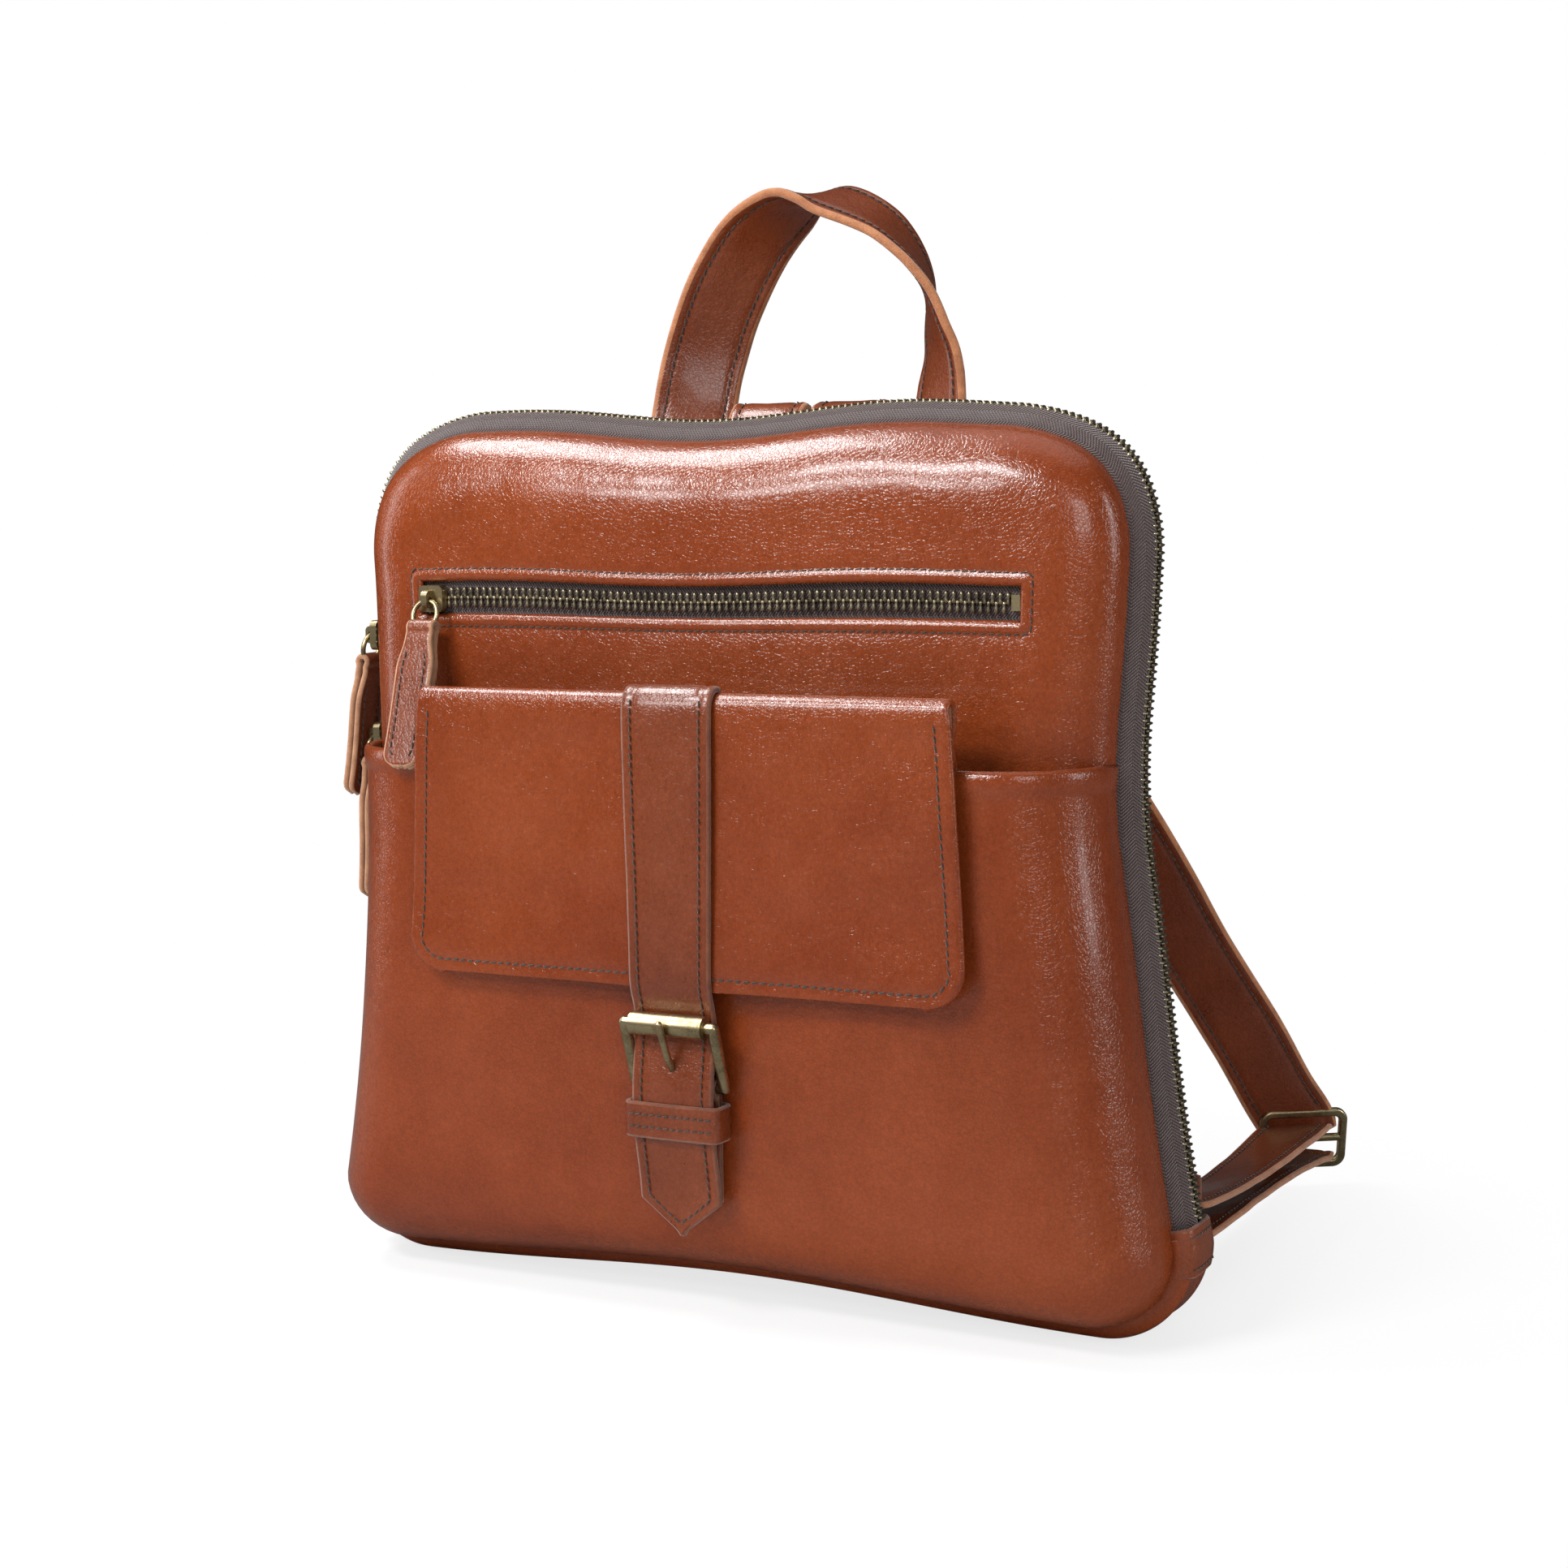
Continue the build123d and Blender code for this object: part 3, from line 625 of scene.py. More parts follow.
LEATHER_BODY = leather_material("leather_body", (0.148, 0.0235, 0.0042), (0.186, 0.0330, 0.0064), (0.222,
        0.0440, 0.0100))
LEATHER_FLAP = leather_material("leather_flap", (0.146, 0.0232, 0.0042), (0.184, 0.0330, 0.0064), (0.220,
        0.0440, 0.0100),
                                grain=0.85)
LEATHER_STRAP = leather_material("leather_strap", (0.112, 0.0200, 0.0045), (0.156, 0.0300, 0.0065), (0.205,
        0.0450, 0.0115),
                                 roughness=(0.24, 0.38), grain=1.15)
RAW_EDGE = suede_material("raw_edge", (0.24, 0.080, 0.028), (0.44, 0.180, 0.075))
DARK_EDGE = suede_material("burnished_edge", (0.085, 0.022, 0.009), (0.190, 0.055, 0.020))
SUEDE = suede_material("suede", (0.24, 0.105, 0.048), (0.42, 0.215, 0.115))
THREAD = suede_material("thread", (0.016, 0.008, 0.005), (0.060, 0.030, 0.017))
BRASS = brass_material("aged_brass", (0.58, 0.47, 0.27), (0.25, 0.19, 0.10), 0.30)
BRASS_TEETH = brass_material("zip_brass", (0.42, 0.36, 0.245), (0.12, 0.10, 0.068), 0.34)
TAPE = woven_material("zip_tape", (0.010, 0.0050, 0.0045), (0.105, 0.058, 0.052), 0.0011, 0.0042)
LINING = cloth_material("lining_cloth", (0.085, 0.055, 0.032), (0.20, 0.145, 0.09))
FELT = suede_material("felt", (0.30, 0.29, 0.26), (0.50, 0.48, 0.43))
BOARD = suede_material("pressed_board", (0.22, 0.16, 0.10), (0.40, 0.30, 0.19))


# ---------------------------------------------------------------- body panels

def panel_rows(top, inset, extra=()):
    """Heights of the rows of a panel, close together round the corners."""
    low_radius = LOW_RADIUS - inset
    low = LOW_CENTRE[1] - low_radius * np.cos(np.linspace(0.03, math.pi / 2, 14))
    middle_top = min(top, TOP_CENTRE[1])
    count = int((middle_top - LOW_CENTRE[1]) / 3.4)
    rows = list(low) + list(np.linspace(LOW_CENTRE[1], middle_top, count)[1:])
    if top > TOP_CENTRE[1]:
        top_radius = TOP_RADIUS - inset
        rows += list(TOP_CENTRE[1] + top_radius * np.sin(np.linspace(0, math.pi / 2 - 0.02, 24))[1:])
    rows = [z for z in rows if all(abs(z - e) > 0.9 for e in extra)] + list(extra)
    return np.array(sorted(rows))


def panel_columns(extra=(), count=84):
    columns = np.linspace(-1, 1, count)
    columns = np.sign(columns) * (1 - (1 - np.abs(columns)) ** 1.25)
    kept = [u for u in columns if all(abs(u - e) > 0.006 for e in extra)]
    return np.array(sorted(kept + list(extra)))


def panel_grid(rows, columns, inset):
    widths = half_width(rows, inset)
    x = widths[:, None] * columns[None, :]
    z = np.repeat(rows[:, None], len(columns), axis=1)
    return x, z


def dome_rise(distance, start, reach, power=2.0):
    t = np.clip((distance - start) / reach, 0, 1)
    return (1 - (1 - t) ** power) ** (1 / power)


def soft_wrinkles(x, y, z, seed, size):
    points = np.stack([x, y * 0, z], -1)
    broad = bumpy(points, 70.0, seed)
    near = bumpy(points * [1.0, 1.0, 0.45], 16.0, seed + 1)
    fine = bumpy(points * [1.0, 1.0, 0.6], 7.0, seed + 2)
    return size * (1.5 * broad + 0.42 * near + 0.12 * fine)


def front_depth(x, z):
    """How far forward the front panel stands at each point."""
    distance = inset_of(x, z)
    crown = np.cos(np.clip(x / 150, -1, 1) * math.pi / 2) * np.sin(np.clip(z / HEIGHT, 0, 1) * math.pi)
    y = -9.0 - 17.8 * dome_rise(distance, 7.2, 25.0) - 2.2 * crown
    edge = smoothstep(8, 26, distance)
    y -= soft_wrinkles(x, y, z, 3, 0.75) * edge
    corner = np.exp(-((z - 272) / 26) ** 2) * smoothstep(60, 125, np.abs(x))
    folds = np.sin((x * 0.55 + z * 0.85 * np.sign(x)) / 4.4 + 2.0 * bumpy(np.stack([x, 0 * x, z], -1), 40.0,
            9))
    y -= 0.32 * folds * corner * edge
    return y


def window_shape(x, y, z):
    """Folds the panel's edge over round the zip window."""
    out_x = np.maximum(np.abs(x) - WINDOW_HALF, 0)
    out_z = np.maximum(np.abs(z - WINDOW_Z) - WINDOW_TALL / 2, 0)
    out = np.hypot(out_x, out_z)
    lip = 0.75 * np.exp(-((out - 1.9) / 1.5) ** 2) - 0.35 * np.exp(-((out - 3.9) / 0.9) ** 2)
    roll = 1.5 * np.exp(-(out / 0.55) ** 2)
    return y - lip + roll


def build_front_panel():
    inset = 7.2
    steps = (0.0, 0.5, 1.1, 1.9, 2.9, 3.9, 5.0)
    low, high = WINDOW_Z - WINDOW_TALL / 2, WINDOW_Z + WINDOW_TALL / 2
    extra_rows = tuple([low - s for s in steps] + [high + s for s in steps])
    side = SIDE_X - inset
    extra_columns = tuple(s * (WINDOW_HALF + e) / side for s in (-1, 1) for e in steps)
    rows = panel_rows(HEIGHT - inset, inset, extra_rows)
    columns = panel_columns(extra_columns)
    x, z = panel_grid(rows, columns, inset)
    y = window_shape(x, front_depth(x, z), z)
    grid = settle(np.stack([x, y, z], -1))
    points, faces, marks = solid_sheet(grid, LEATHER, faces_in(grid, MIDDLE))
    inside_x = (columns[:-1] * side > -WINDOW_HALF - 0.1) & (columns[1:] * side < WINDOW_HALF + 0.1)
    inside_z = (rows[:-1] > low - 0.1) & (rows[1:] < high + 0.1)
    hole = (inside_z[:, None] & inside_x[None, :]).ravel()
    keep = np.ones(len(faces), bool)
    keep[:len(hole)] = ~hole
    keep[len(hole):2 * len(hole)] = ~hole
    faces, marks = faces[keep], marks[keep]
    i = np.where(inside_z)[0]
    j = np.where(inside_x)[0]
    faces_lip = window_lip(len(columns), len(rows), i, j)
    faces = np.vstack([faces, faces_lip])
    marks = np.concatenate([marks, np.zeros(len(faces_lip), int)])
    piece = make_piece("front_panel_leather", points, faces, [LEATHER_BODY, LINING, LEATHER_BODY], None,
                       marks, None, ("front_panel", "front_panel_base"))
    blend_front(piece)
    return piece


def window_lip(columns, rows, i, j):
    """Faces between the outer and inner leather round the window."""
    count = rows * columns
    i0, i1, j0, j1 = i[0], i[-1] + 1, j[0], j[-1] + 1
    loop = [(i0, k) for k in range(j0, j1)] + [(k, j1) for k in range(i0, i1)]
    loop += [(i1, k) for k in range(j1, j0, -1)] + [(k, j0) for k in range(i1, i0, -1)]
    ids = [a * columns + b for a, b in loop]
    return np.array([(ids[k], ids[(k + 1) % len(ids)], ids[(k + 1) % len(ids)] + count, ids[k] + count)
                     for k in range(len(ids))])


def joint_place(name):
    joint = next(j for j in frame["record"]["behaviour"]["joints"] if j["name"] == name)
    return Vector(joint["pos_m"])


def blend_front(piece):
    """Bakes the piece's placement into its mesh."""
    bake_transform(piece)


def pocket_depth(x, z):
    distance = inset_of(x, z)
    crown = np.cos(np.clip(x / 155, -1, 1) * math.pi / 2) * np.sin(np.clip(z / 200, 0, 1) * math.pi)
    y = -9.4 - 36.3 * dome_rise(distance, 7.0, 34.0, 2.1) - 1.2 * crown
    edge = smoothstep(6, 30, distance)
    y -= soft_wrinkles(x, y, z, 21, 0.8) * edge * (1 - 0.6 * smoothstep(150, 190, z))
    return y


def build_pocket_panel():
    inset = 7.0
    extra = (POCKET_TOP - 0.8, POCKET_TOP - 2.0, POCKET_TOP - 3.6, POCKET_TOP - 5.4, POCKET_TOP - 8)
    rows = panel_rows(POCKET_TOP, inset, extra)
    columns = panel_columns(count=96)
    x, z = panel_grid(rows, columns, inset)
    y = pocket_depth(x, z)
    below = POCKET_TOP - z
    y -= 0.5 * np.exp(-((below - 3.0) / 2.4) ** 2)
    thickness = LEATHER + 1.3 * (1 - smoothstep(4, 8, below))
    piece = sheet_piece("pocket_panel_leather", settle(np.stack([x, y, z], -1)), thickness,
                        [LEATHER_BODY, LINING, LEATHER_BODY], None,
                        replaces=("pocket_panel", "pocket_panel_base"))
    blend_front(piece)
    return piece


def back_depth(x, z):
    distance = inset_of(x, z)
    y = 9.2 + 32.6 * dome_rise(distance, 7.0, 25.0, 2.1)
    edge = smoothstep(8, 28, distance)
    seam = np.exp(-((distance - 34.0) / 2.0) ** 2)
    return y + soft_wrinkles(x, y, z, 41, 0.35) * edge - 1.1 * seam


def build_back_panel():
    inset = 7.0
    rows = panel_rows(HEIGHT - inset, inset)
    columns = panel_columns(count=110)
    x, z = panel_grid(rows, columns, inset)
    grid = settle(np.stack([x, back_depth(x, z), z], -1))
    piece = sheet_piece("back_panel_leather", grid, LEATHER, [LEATHER_BODY, LINING, LEATHER_BODY], "bag_back",
                        replaces=("back_panel",))
    line = []
    for x_end, z_end in OUTLINE[::6]:
        direction = np.array([x_end, z_end - 155.0])
        reach = np.linalg.norm(direction)
        shrink = 1 - 34.0 / reach * 1.04
        line.append((x_end * shrink, 155 + (z_end - 155) * shrink))
    line = np.array(line + line[:1])
    y = back_depth(line[:, 0], line[:, 1]) + LEATHER / 2
    points = settle(np.stack([line[:, 0], y, line[:, 1]], 1))
    normals = np.tile([0.0, 1.0, 0.0], (len(points), 1))
    placed, faces = stitch_points([(points, normals)])
    make_piece("back_panel_stitches", placed, faces, [THREAD], "bag_back")


# ---------------------------------------------------------------- zip round the bag

def build_tape(name, side, body, node):
    path, normal = hoop_path(420)
    section = [(8.6, side * 9.3), (6.4, side * 9.2), (4.6, side * 7.8), (2.6, side * 5.8), (1.0, side * 4.0),
               (0.1, side * 3.0), (-0.1, side * 2.2)]
    grid = hoop_grid(path, normal, section)
    ripple = 0.22 * np.sin(np.arange(len(path)) * 0.9)[:, None] * np.linspace(1, 0, len(section))[None, :]
    grid[..., 1] += side * ripple
    piece = sheet_piece(name, settle(grid), 0.9, [TAPE], body, replaces=(node,))


def tooth_template():
    """A zip tooth: a bar along X with a waist behind its rounded head."""
    rings = [(-1.0, 0.75, 0.85), (-0.55, 0.95, 1.0), (0.0, 0.72, 0.9), (0.35, 0.72, 0.82), (0.7, 1.0, 0.95),
             (1.0, 0.62, 0.6)]
    sides = 8
    points = []
    for x, wide, tall in rings:
        for k in range(sides):
            angle = 2 * math.pi * (k + 0.5) / sides
            corner = 1.0 / max(abs(math.cos(angle)), abs(math.sin(angle)))
            points.append((x, wide * math.cos(angle) * corner ** 0.7, tall * math.sin(angle) * corner ** 0.7))
    faces = []
    for row in range(len(rings) - 1):
        for k in range(sides):
            a, b = row * sides + k, row * sides + (k + 1) % sides
            faces.append((a, b, b + sides, a + sides))
    caps = [tuple(range(sides - 1, -1, -1)), tuple(range(len(points) - sides, len(points)))]
    return np.array(points), faces, caps


def build_main_teeth(name, side, body, node):
    path, normal = hoop_path(2000)
    length = line_length(path)
    count = int(length / MAIN_PITCH) - 2
    along = unit(np.gradient(path, axis=0))
    start = 1.4 + (0.5 if side > 0 else 0.0)
    places = (np.arange(count) + start) * MAIN_PITCH / length * (len(path) - 1)
    centre = np.stack([np.interp(places, np.arange(len(path)), path[:, k]) for k in range(2)], 1)
    tangent = np.stack([np.interp(places, np.arange(len(path)), along[:, k]) for k in range(2)], 1)
    outward = np.stack([np.interp(places, np.arange(len(path)), normal[:, k]) for k in range(2)], 1)
    zero = np.zeros(count)
    origin = np.stack([centre[:, 0], zero + side * 1.35, centre[:, 1]], 1)
    axis_x = np.tile([0.0, -side, 0.0], (count, 1))
    axis_y = np.stack([tangent[:, 0], zero, tangent[:, 1]], 1)
    axis_z = np.stack([outward[:, 0], zero, outward[:, 1]], 1)
    origin = origin + axis_z * 0.25
    sizes = np.tile([2.0, 0.64, 1.15], (count, 1))
    points, faces = scatter(tooth_template(), origin, axis_x, axis_y, axis_z, sizes)
    make_piece(name, settle(points), faces, [BRASS_TEETH], body, replaces=(node,))


def build_base():
    section = [(7.6, 9.6), (5.0, 10.6), (2.4, 10.6), (0.7, 9.6), (0.15, 8.0), (0.5, 5.0), (0.8, 0.0),
               (0.5, -5.0), (0.15, -8.0), (0.7, -9.6), (2.4, -10.6), (5.0, -10.6), (7.6, -9.6)]
    section = [(i + 1.1, y) for i, y in section]
    path, normal = base_path(260)
    grid = hoop_grid(path, normal, section)
    piece = sheet_piece("base_gusset_leather", settle(grid), LEATHER, [LEATHER_BODY, LINING, LEATHER_BODY],
                        "bag_back", replaces=("base_gusset",))
    for side, node in ((-1, "zip_end_tab_left"), (1, "zip_end_tab_right")):
        build_end_tab(side, node)


def build_end_tab(side, node):
    """The leather tab over the end of the main zip."""
    path, normal = base_path(500, 52.0)
    keep = (path[:, 0] * side > 0) & (path[:, 1] > 25.0) & (path[:, 1] < 41.0)
    path, normal = resample(path[keep], 14), resample(normal[keep], 14)
    section = [(5.6, 10.6), (2.6, 10.9), (0.6, 9.9), (-0.4, 8.0), (-0.55, 4.0), (-0.6, 0.0), (-0.55, -4.0),
               (-0.4, -8.0), (0.6, -9.9), (2.6, -10.9), (5.6, -10.6)]
    section = [(i + 0.2, y) for i, y in section]
    grid = settle(hoop_grid(path, normal, section))
    piece = sheet_piece(node + "_leather", grid, 1.6, [LEATHER_STRAP, LEATHER_STRAP, DARK_EDGE], "bag_back",
                        replaces=(node,))
    lines = []
    for row in (2, 11):
        line = grid[row]
        outward = np.stack([np.full(len(line), float(side)), np.zeros(len(line)), np.zeros(len(line))], 1)
        lines.append((line + outward * 0.8, outward))
    placed, faces = stitch_points(lines, pitch=2.8, radius=0.3)
    make_piece(node + "_stitches", placed, faces, [THREAD], "bag_back")


# ---------------------------------------------------------------- zip window

def window_line(margin, corner=2.0):
    """A rounded rectangle round the window, as (x, z) points."""
    half_x, half_z = WINDOW_HALF + margin, WINDOW_TALL / 2 + margin
    points = []
    for sx, sz, start in ((1, 1, 0), (-1, 1, 90), (-1, -1, 180), (1, -1, 270)):
        for k in range(5):
            angle = math.radians(start + 22.5 * k)
            points.append((sx * (half_x - corner) + corner * math.cos(angle),
                           WINDOW_Z + sz * (half_z - corner) + corner * math.sin(angle)))
    points.append(points[0])
    return resample(np.array(points), 500)


def build_window():
    line = window_line(3.9)
    y = window_shape(line[:, 0], front_depth(line[:, 0], line[:, 1]), line[:, 1]) - LEATHER / 2
    points = settle(np.stack([line[:, 0], y, line[:, 1]], 1))
    normals = np.tile([0.0, -1.0, 0.0], (len(points), 1))
    placed, faces = stitch_points([(points, normals)], pitch=2.9, radius=0.34)
    make_piece("window_stitches", placed, faces, [THREAD], "bag_front")
    for side, tape, teeth in ((1, "window_tape_upper", "window_teeth_upper"),
                              (-1, "window_tape_lower", "window_teeth_lower")):
        x = np.linspace(-119, 119, 120)
        offsets = np.array([0.7, 1.6, 3.2, 3.9, 6.0, 9.0, 11.8])
        lift = np.array([-0.5, -0.6, -0.4, 0.0, 0.1, 0.1, 0.2])
        grid = np.zeros((len(x), len(offsets), 3))
        grid[..., 0] = x[:, None]
        grid[..., 1] = -24.6 + lift[None, :] + 0.12 * np.sin(x / 5.0)[:, None]
        grid[..., 2] = WINDOW_Z + side * offsets[None, :]
        piece = sheet_piece(tape + "_cloth", settle(grid), 0.7, [TAPE], "bag_front", replaces=(tape,))
        count = int(222 / WINDOW_PITCH)
        zero = np.zeros(count)
        places = -110 + (np.arange(count) + (0.5 if side > 0 else 0.0)) * WINDOW_PITCH
        origin = np.stack([places, zero - 26.2, zero + WINDOW_Z + side * 1.45], 1)
        axes = [np.tile(v, (count, 1)) for v in ([0.0, 0.0, -side], [1.0, 0.0, 0.0], [0.0, -1.0, 0.0])]
        sizes = np.tile([2.05, 0.73, 1.1], (count, 1))
        placed, faces = scatter(tooth_template(), origin, *axes, sizes)
        make_piece(teeth + "_row", settle(placed), faces, [BRASS_TEETH], "bag_front",
                   replaces=(teeth,))


# ---------------------------------------------------------------- flap, strap and buckle

FLAP_HALF_TOP, FLAP_HALF_LOW = 99.6, 105.2
FLAP_LOW, FLAP_TOP = 117.0, 216.0
FLAP_CORNER = 13.0
FLAP_Y = -53.1
KEEPER_Z, KEEPER_HALF = 71.9, 5.3


def flap_half(z, inset=0.0):
    share = np.clip((FLAP_TOP - np.asarray(z, float)) / (FLAP_TOP - FLAP_LOW), 0, 1)
    wide = FLAP_HALF_TOP + (FLAP_HALF_LOW - FLAP_HALF_TOP) * share - inset
    radius = FLAP_CORNER - inset
    low = FLAP_LOW + inset
    drop = np.clip(low + radius - z, 0, radius)
    return wide - radius + np.sqrt(np.maximum(radius ** 2 - drop ** 2, 0))


def flap_sag(x, z):
    points = np.stack([x, 0 * x, z], -1)
    return 0.9 * bumpy(points, 55.0, 61) + 0.25 * bumpy(points, 14.0, 62) + 1.2 * smoothstep(150, 117, z)


def build_flap():
    corner_rows = FLAP_LOW + FLAP_CORNER * (1 - np.cos(np.linspace(0.05, math.pi / 2, 12)))
    front_rows = np.concatenate([corner_rows, np.linspace(FLAP_LOW + FLAP_CORNER, 210.5, 30)[1:]])
    front = [(FLAP_Y, z) for z in front_rows]
    centre_y, radius = -50.1, 3.0
    arc = [(centre_y - radius * math.cos(a), 211.9 + radius * math.sin(a)) for a in np.linspace(0, math.pi,
            12)]
    rear = [(-47.0, 207.0), (-45.6, 201.0), (-43.6, 194.0), (-40.0, 186.0), (-35.0, 177.0), (-30.6, 170.0)]
    profile = front + arc + rear
    half = FLAP_HALF_TOP
    groove = 4.0
    marks = np.array([0, 1.2, 2.5, groove, 5.4, 8.0]) / half
    middle = np.linspace(-1 + marks[-1], 1 - marks[-1], 46)[1:-1]
    columns = np.concatenate([-1 + marks, middle, 1 - marks[::-1]])
    grid = np.zeros((len(profile), len(columns), 3))
    for row, (y, z) in enumerate(profile):
        is_front = row < len(front)
        wide = float(flap_half(z)) if is_front else FLAP_HALF_TOP - (1.5 if row > len(front) + 12 else 0)
        x = columns * wide
        sag = flap_sag(x, np.full(len(x), z)) if is_front else 0.0
        grid[row, :, 0] = x
        grid[row, :, 1] = y - (sag * smoothstep(211, 196, z) if is_front else 0)
        grid[row, :, 2] = z
    thickness = flap_thickness(grid, len(front))
    piece = sheet_piece("flap_leather_cover", grid, thickness, [LEATHER_FLAP, SUEDE, LEATHER_FLAP], None,
                        replaces=("flap_leather", "flap_lining", "flap_backing"))
    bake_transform(piece)
    placed, faces = stitch_points([flap_stitch_line(groove)], pitch=STITCH_PITCH, radius=0.38)
    make_piece("flap_stitches", placed, faces, [THREAD], "flap")


def flap_edge_distance(x, z):
    side = flap_half(np.maximum(z, FLAP_LOW + 0.1)) - np.abs(x)
    return np.minimum(side, z - FLAP_LOW)


def flap_thickness(grid, front_rows):
    x, z = grid[..., 0], grid[..., 2]
    distance = flap_edge_distance(x, z)
    thickness = 2.9 - 0.75 * np.exp(-((distance - 4.0) / 0.9) ** 2)
    thickness[front_rows:] = 2.4
    return thickness


def flap_stitch_line(inset):
    """Down the left edge, along the bottom and up the right edge, inset from the rim."""
    half_low = FLAP_HALF_LOW - inset
    radius = FLAP_CORNER - inset
    low = FLAP_LOW + inset
    left = [(-float(flap_half(z, inset)), z) for z in np.linspace(208, low + radius, 30)]
    arc = [(-half_low + radius - radius * math.cos(a), low + radius - radius * math.sin(a))
           for a in np.linspace(0, math.pi / 2, 8)[1:]]
    bottom = [(x, low) for x in np.linspace(-half_low + radius, 0, 12)[1:]]
    half = left + arc + bottom
    other = [(-x, z) for x, z in reversed(half[:-1])]
    line = resample(np.array(half + other), 400)
    x, z = line[:, 0], line[:, 1]
    y = FLAP_Y - flap_sag(x, z) * smoothstep(211, 196, z) - 1.1
    normals = np.tile([0.0, -1.0, 0.0], (len(x), 1))
    return np.stack([x, y, z], 1), normals


def strap_depth(path):
    """(x, y, z) of a route given as (y, z) on the bag's middle line."""
    return np.array([(0.0, y, z) for y, z in path])


def build_flap_strap():
    route = [(-48.8, 216.9), (-51.0, 217.3), (-53.6, 216.2), (-55.7, 213.0), (-56.5, 206.0), (-56.8, 180.0),
             (-57.0, 150.0), (-57.4, 125.0), (-57.0, 117.0), (-55.2, 111.0), (-54.1, 105.0), (-55.2, 95.4),
             (-57.0, 84.4), (-57.0, 74.0), (-55.6, 63.0), (-53.2, 48.0), (-52.0, 32.0)]
    path = catmull(strap_depth(route), 150)
    z = path[:, 2]
    half = 14.4 + 1.5 * smoothstep(105, 217, z)
    tip = np.clip((z - 32.6) / 11.0, 0, 1)
    half = np.where(z < 43.6, 14.0 * tip + 0.4, half)
    across = np.tile([1.0, 0.0, 0.0], (len(path), 1))
    offsets = strap_offsets(15.0)
    grid = ribbon_grid(path, across, half, offsets)
    grid[..., 1] += 0.25 * bumpy(grid, 18.0, 71)
    thickness = np.repeat(puffed(offsets, 15.0, 2.5)[None, :], len(path), axis=0)
    piece = sheet_piece("flap_strap_leather", grid, thickness, [LEATHER_STRAP, SUEDE, DARK_EDGE], "flap",
                        replaces=("flap_strap",))
    lines = []
    for edge in (-1, 1):
        keep = (z < 215) & (z > 46)
        reach = half[keep] - 2.8
        points = path[keep] + np.stack([edge * reach, np.full(keep.sum(), -1.22), np.zeros(keep.sum())], 1)
        tip_points = [(edge * 11.5, -53.9, 44.8), (edge * 5.8, -53.6, 40.0), (edge * 0.2, -53.5, 36.0)]
        points = np.vstack([points, tip_points])
        normals = np.tile([0.0, -1.0, 0.0], (len(points), 1))
        lines.append((points, normals))
    placed, faces = stitch_points(lines, pitch=3.0, radius=0.36)
    make_piece("flap_strap_stitches", placed, faces, [THREAD], "flap")


def build_keeper():
    """The loop that holds the end of the strap."""
    half_x, front, rear, corner = 17.5, -58.6, -48.8, 2.4
    corners = []
    for sx, y, start in ((1, rear, 0), (-1, rear, 90), (-1, front, 180), (1, front, 270)):
        sy = -1 if y == rear else 1
        for k in range(4):
            angle = math.radians(start + 30 * k)
            corners.append((sx * (half_x - corner) + corner * math.cos(angle),
                            y + sy * corner + corner * math.sin(angle), 0.0))
    half = len(corners) // 4
    ring_points = corners[half:] + corners[:half]
    ring_points = [(0.0, rear, 0.0)] + ring_points + [(0.0, rear, 0.0)]
    path = resample(np.array(ring_points), 90)
    path[:, 2] = KEEPER_Z
    across = np.tile([0.0, 0.0, 1.0], (len(path), 1))
    offsets = np.array([-1, -0.9, -0.75, -0.62, -0.45, -0.2, 0, 0.2, 0.45, 0.62, 0.75, 0.9, 1])
    grid = ribbon_grid(path, across, np.full(len(path), KEEPER_HALF), offsets)
    grid[..., 1] -= np.where(grid[..., 1] < -57, 0.5 * np.cos(grid[..., 0] / 12.0), 0)
    thickness = np.repeat((1.9 - 0.4 * np.exp(-((np.abs(offsets) - 0.40) / 0.12) ** 2))[None, :], len(path),
                          0)
    middle = tuple(grid.reshape(-1, 3).mean(axis=0))
    piece = sheet_piece("strap_keeper_leather", grid, thickness, [LEATHER_STRAP, SUEDE, DARK_EDGE], "flap",
                        middle, ("strap_keeper",))
    lines = []
    for z in (-0.40 * KEEPER_HALF, 0.40 * KEEPER_HALF):
        x = np.linspace(-16.0, 16.0, 30)
        y = -59.45 - 0.5 * np.cos(x / 12.0)
        points = np.stack([x, y, np.full(30, KEEPER_Z + z)], 1)
        lines.append((points, np.tile([0.0, -1.0, 0.0], (30, 1))))
    placed, faces = stitch_points(lines, pitch=2.6, radius=0.32)
    make_piece("strap_keeper_stitches", placed, faces, [THREAD], "flap")


def build_chape():
    y_bar, z_bar, radius = -51.8, 83.4, 2.95
    loop = [(y_bar - radius * math.sin(a), z_bar + radius * math.cos(a)) for a in np.linspace(-2.3, 2.3, 14)]
    route = [(-49.9, 44.0), (-49.8, 60.0), (-49.6, 75.0)] + loop + [(-51.5, 75.0), (-51.4, 60.0), (-51.4,
            45.0)]
    for name, low, high in (("left", -14.1, -2.4), ("right", 2.4, 14.1)):
        path = catmull(strap_depth(route), 60)
        path[:, 0] = (low + high) / 2
        across = np.tile([1.0, 0.0, 0.0], (len(path), 1))
        grid = ribbon_grid(path, across, np.full(len(path), (high - low) / 2), np.linspace(-1, 1, 6))
        piece = sheet_piece("buckle_chape_" + name, grid, 1.3, [LEATHER_STRAP, SUEDE, DARK_EDGE], "flap",
                            tuple(grid.reshape(-1, 3).mean(axis=0)))
        if name == "left":
            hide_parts("buckle_chape")


# ---------------------------------------------------------------- leather pulls


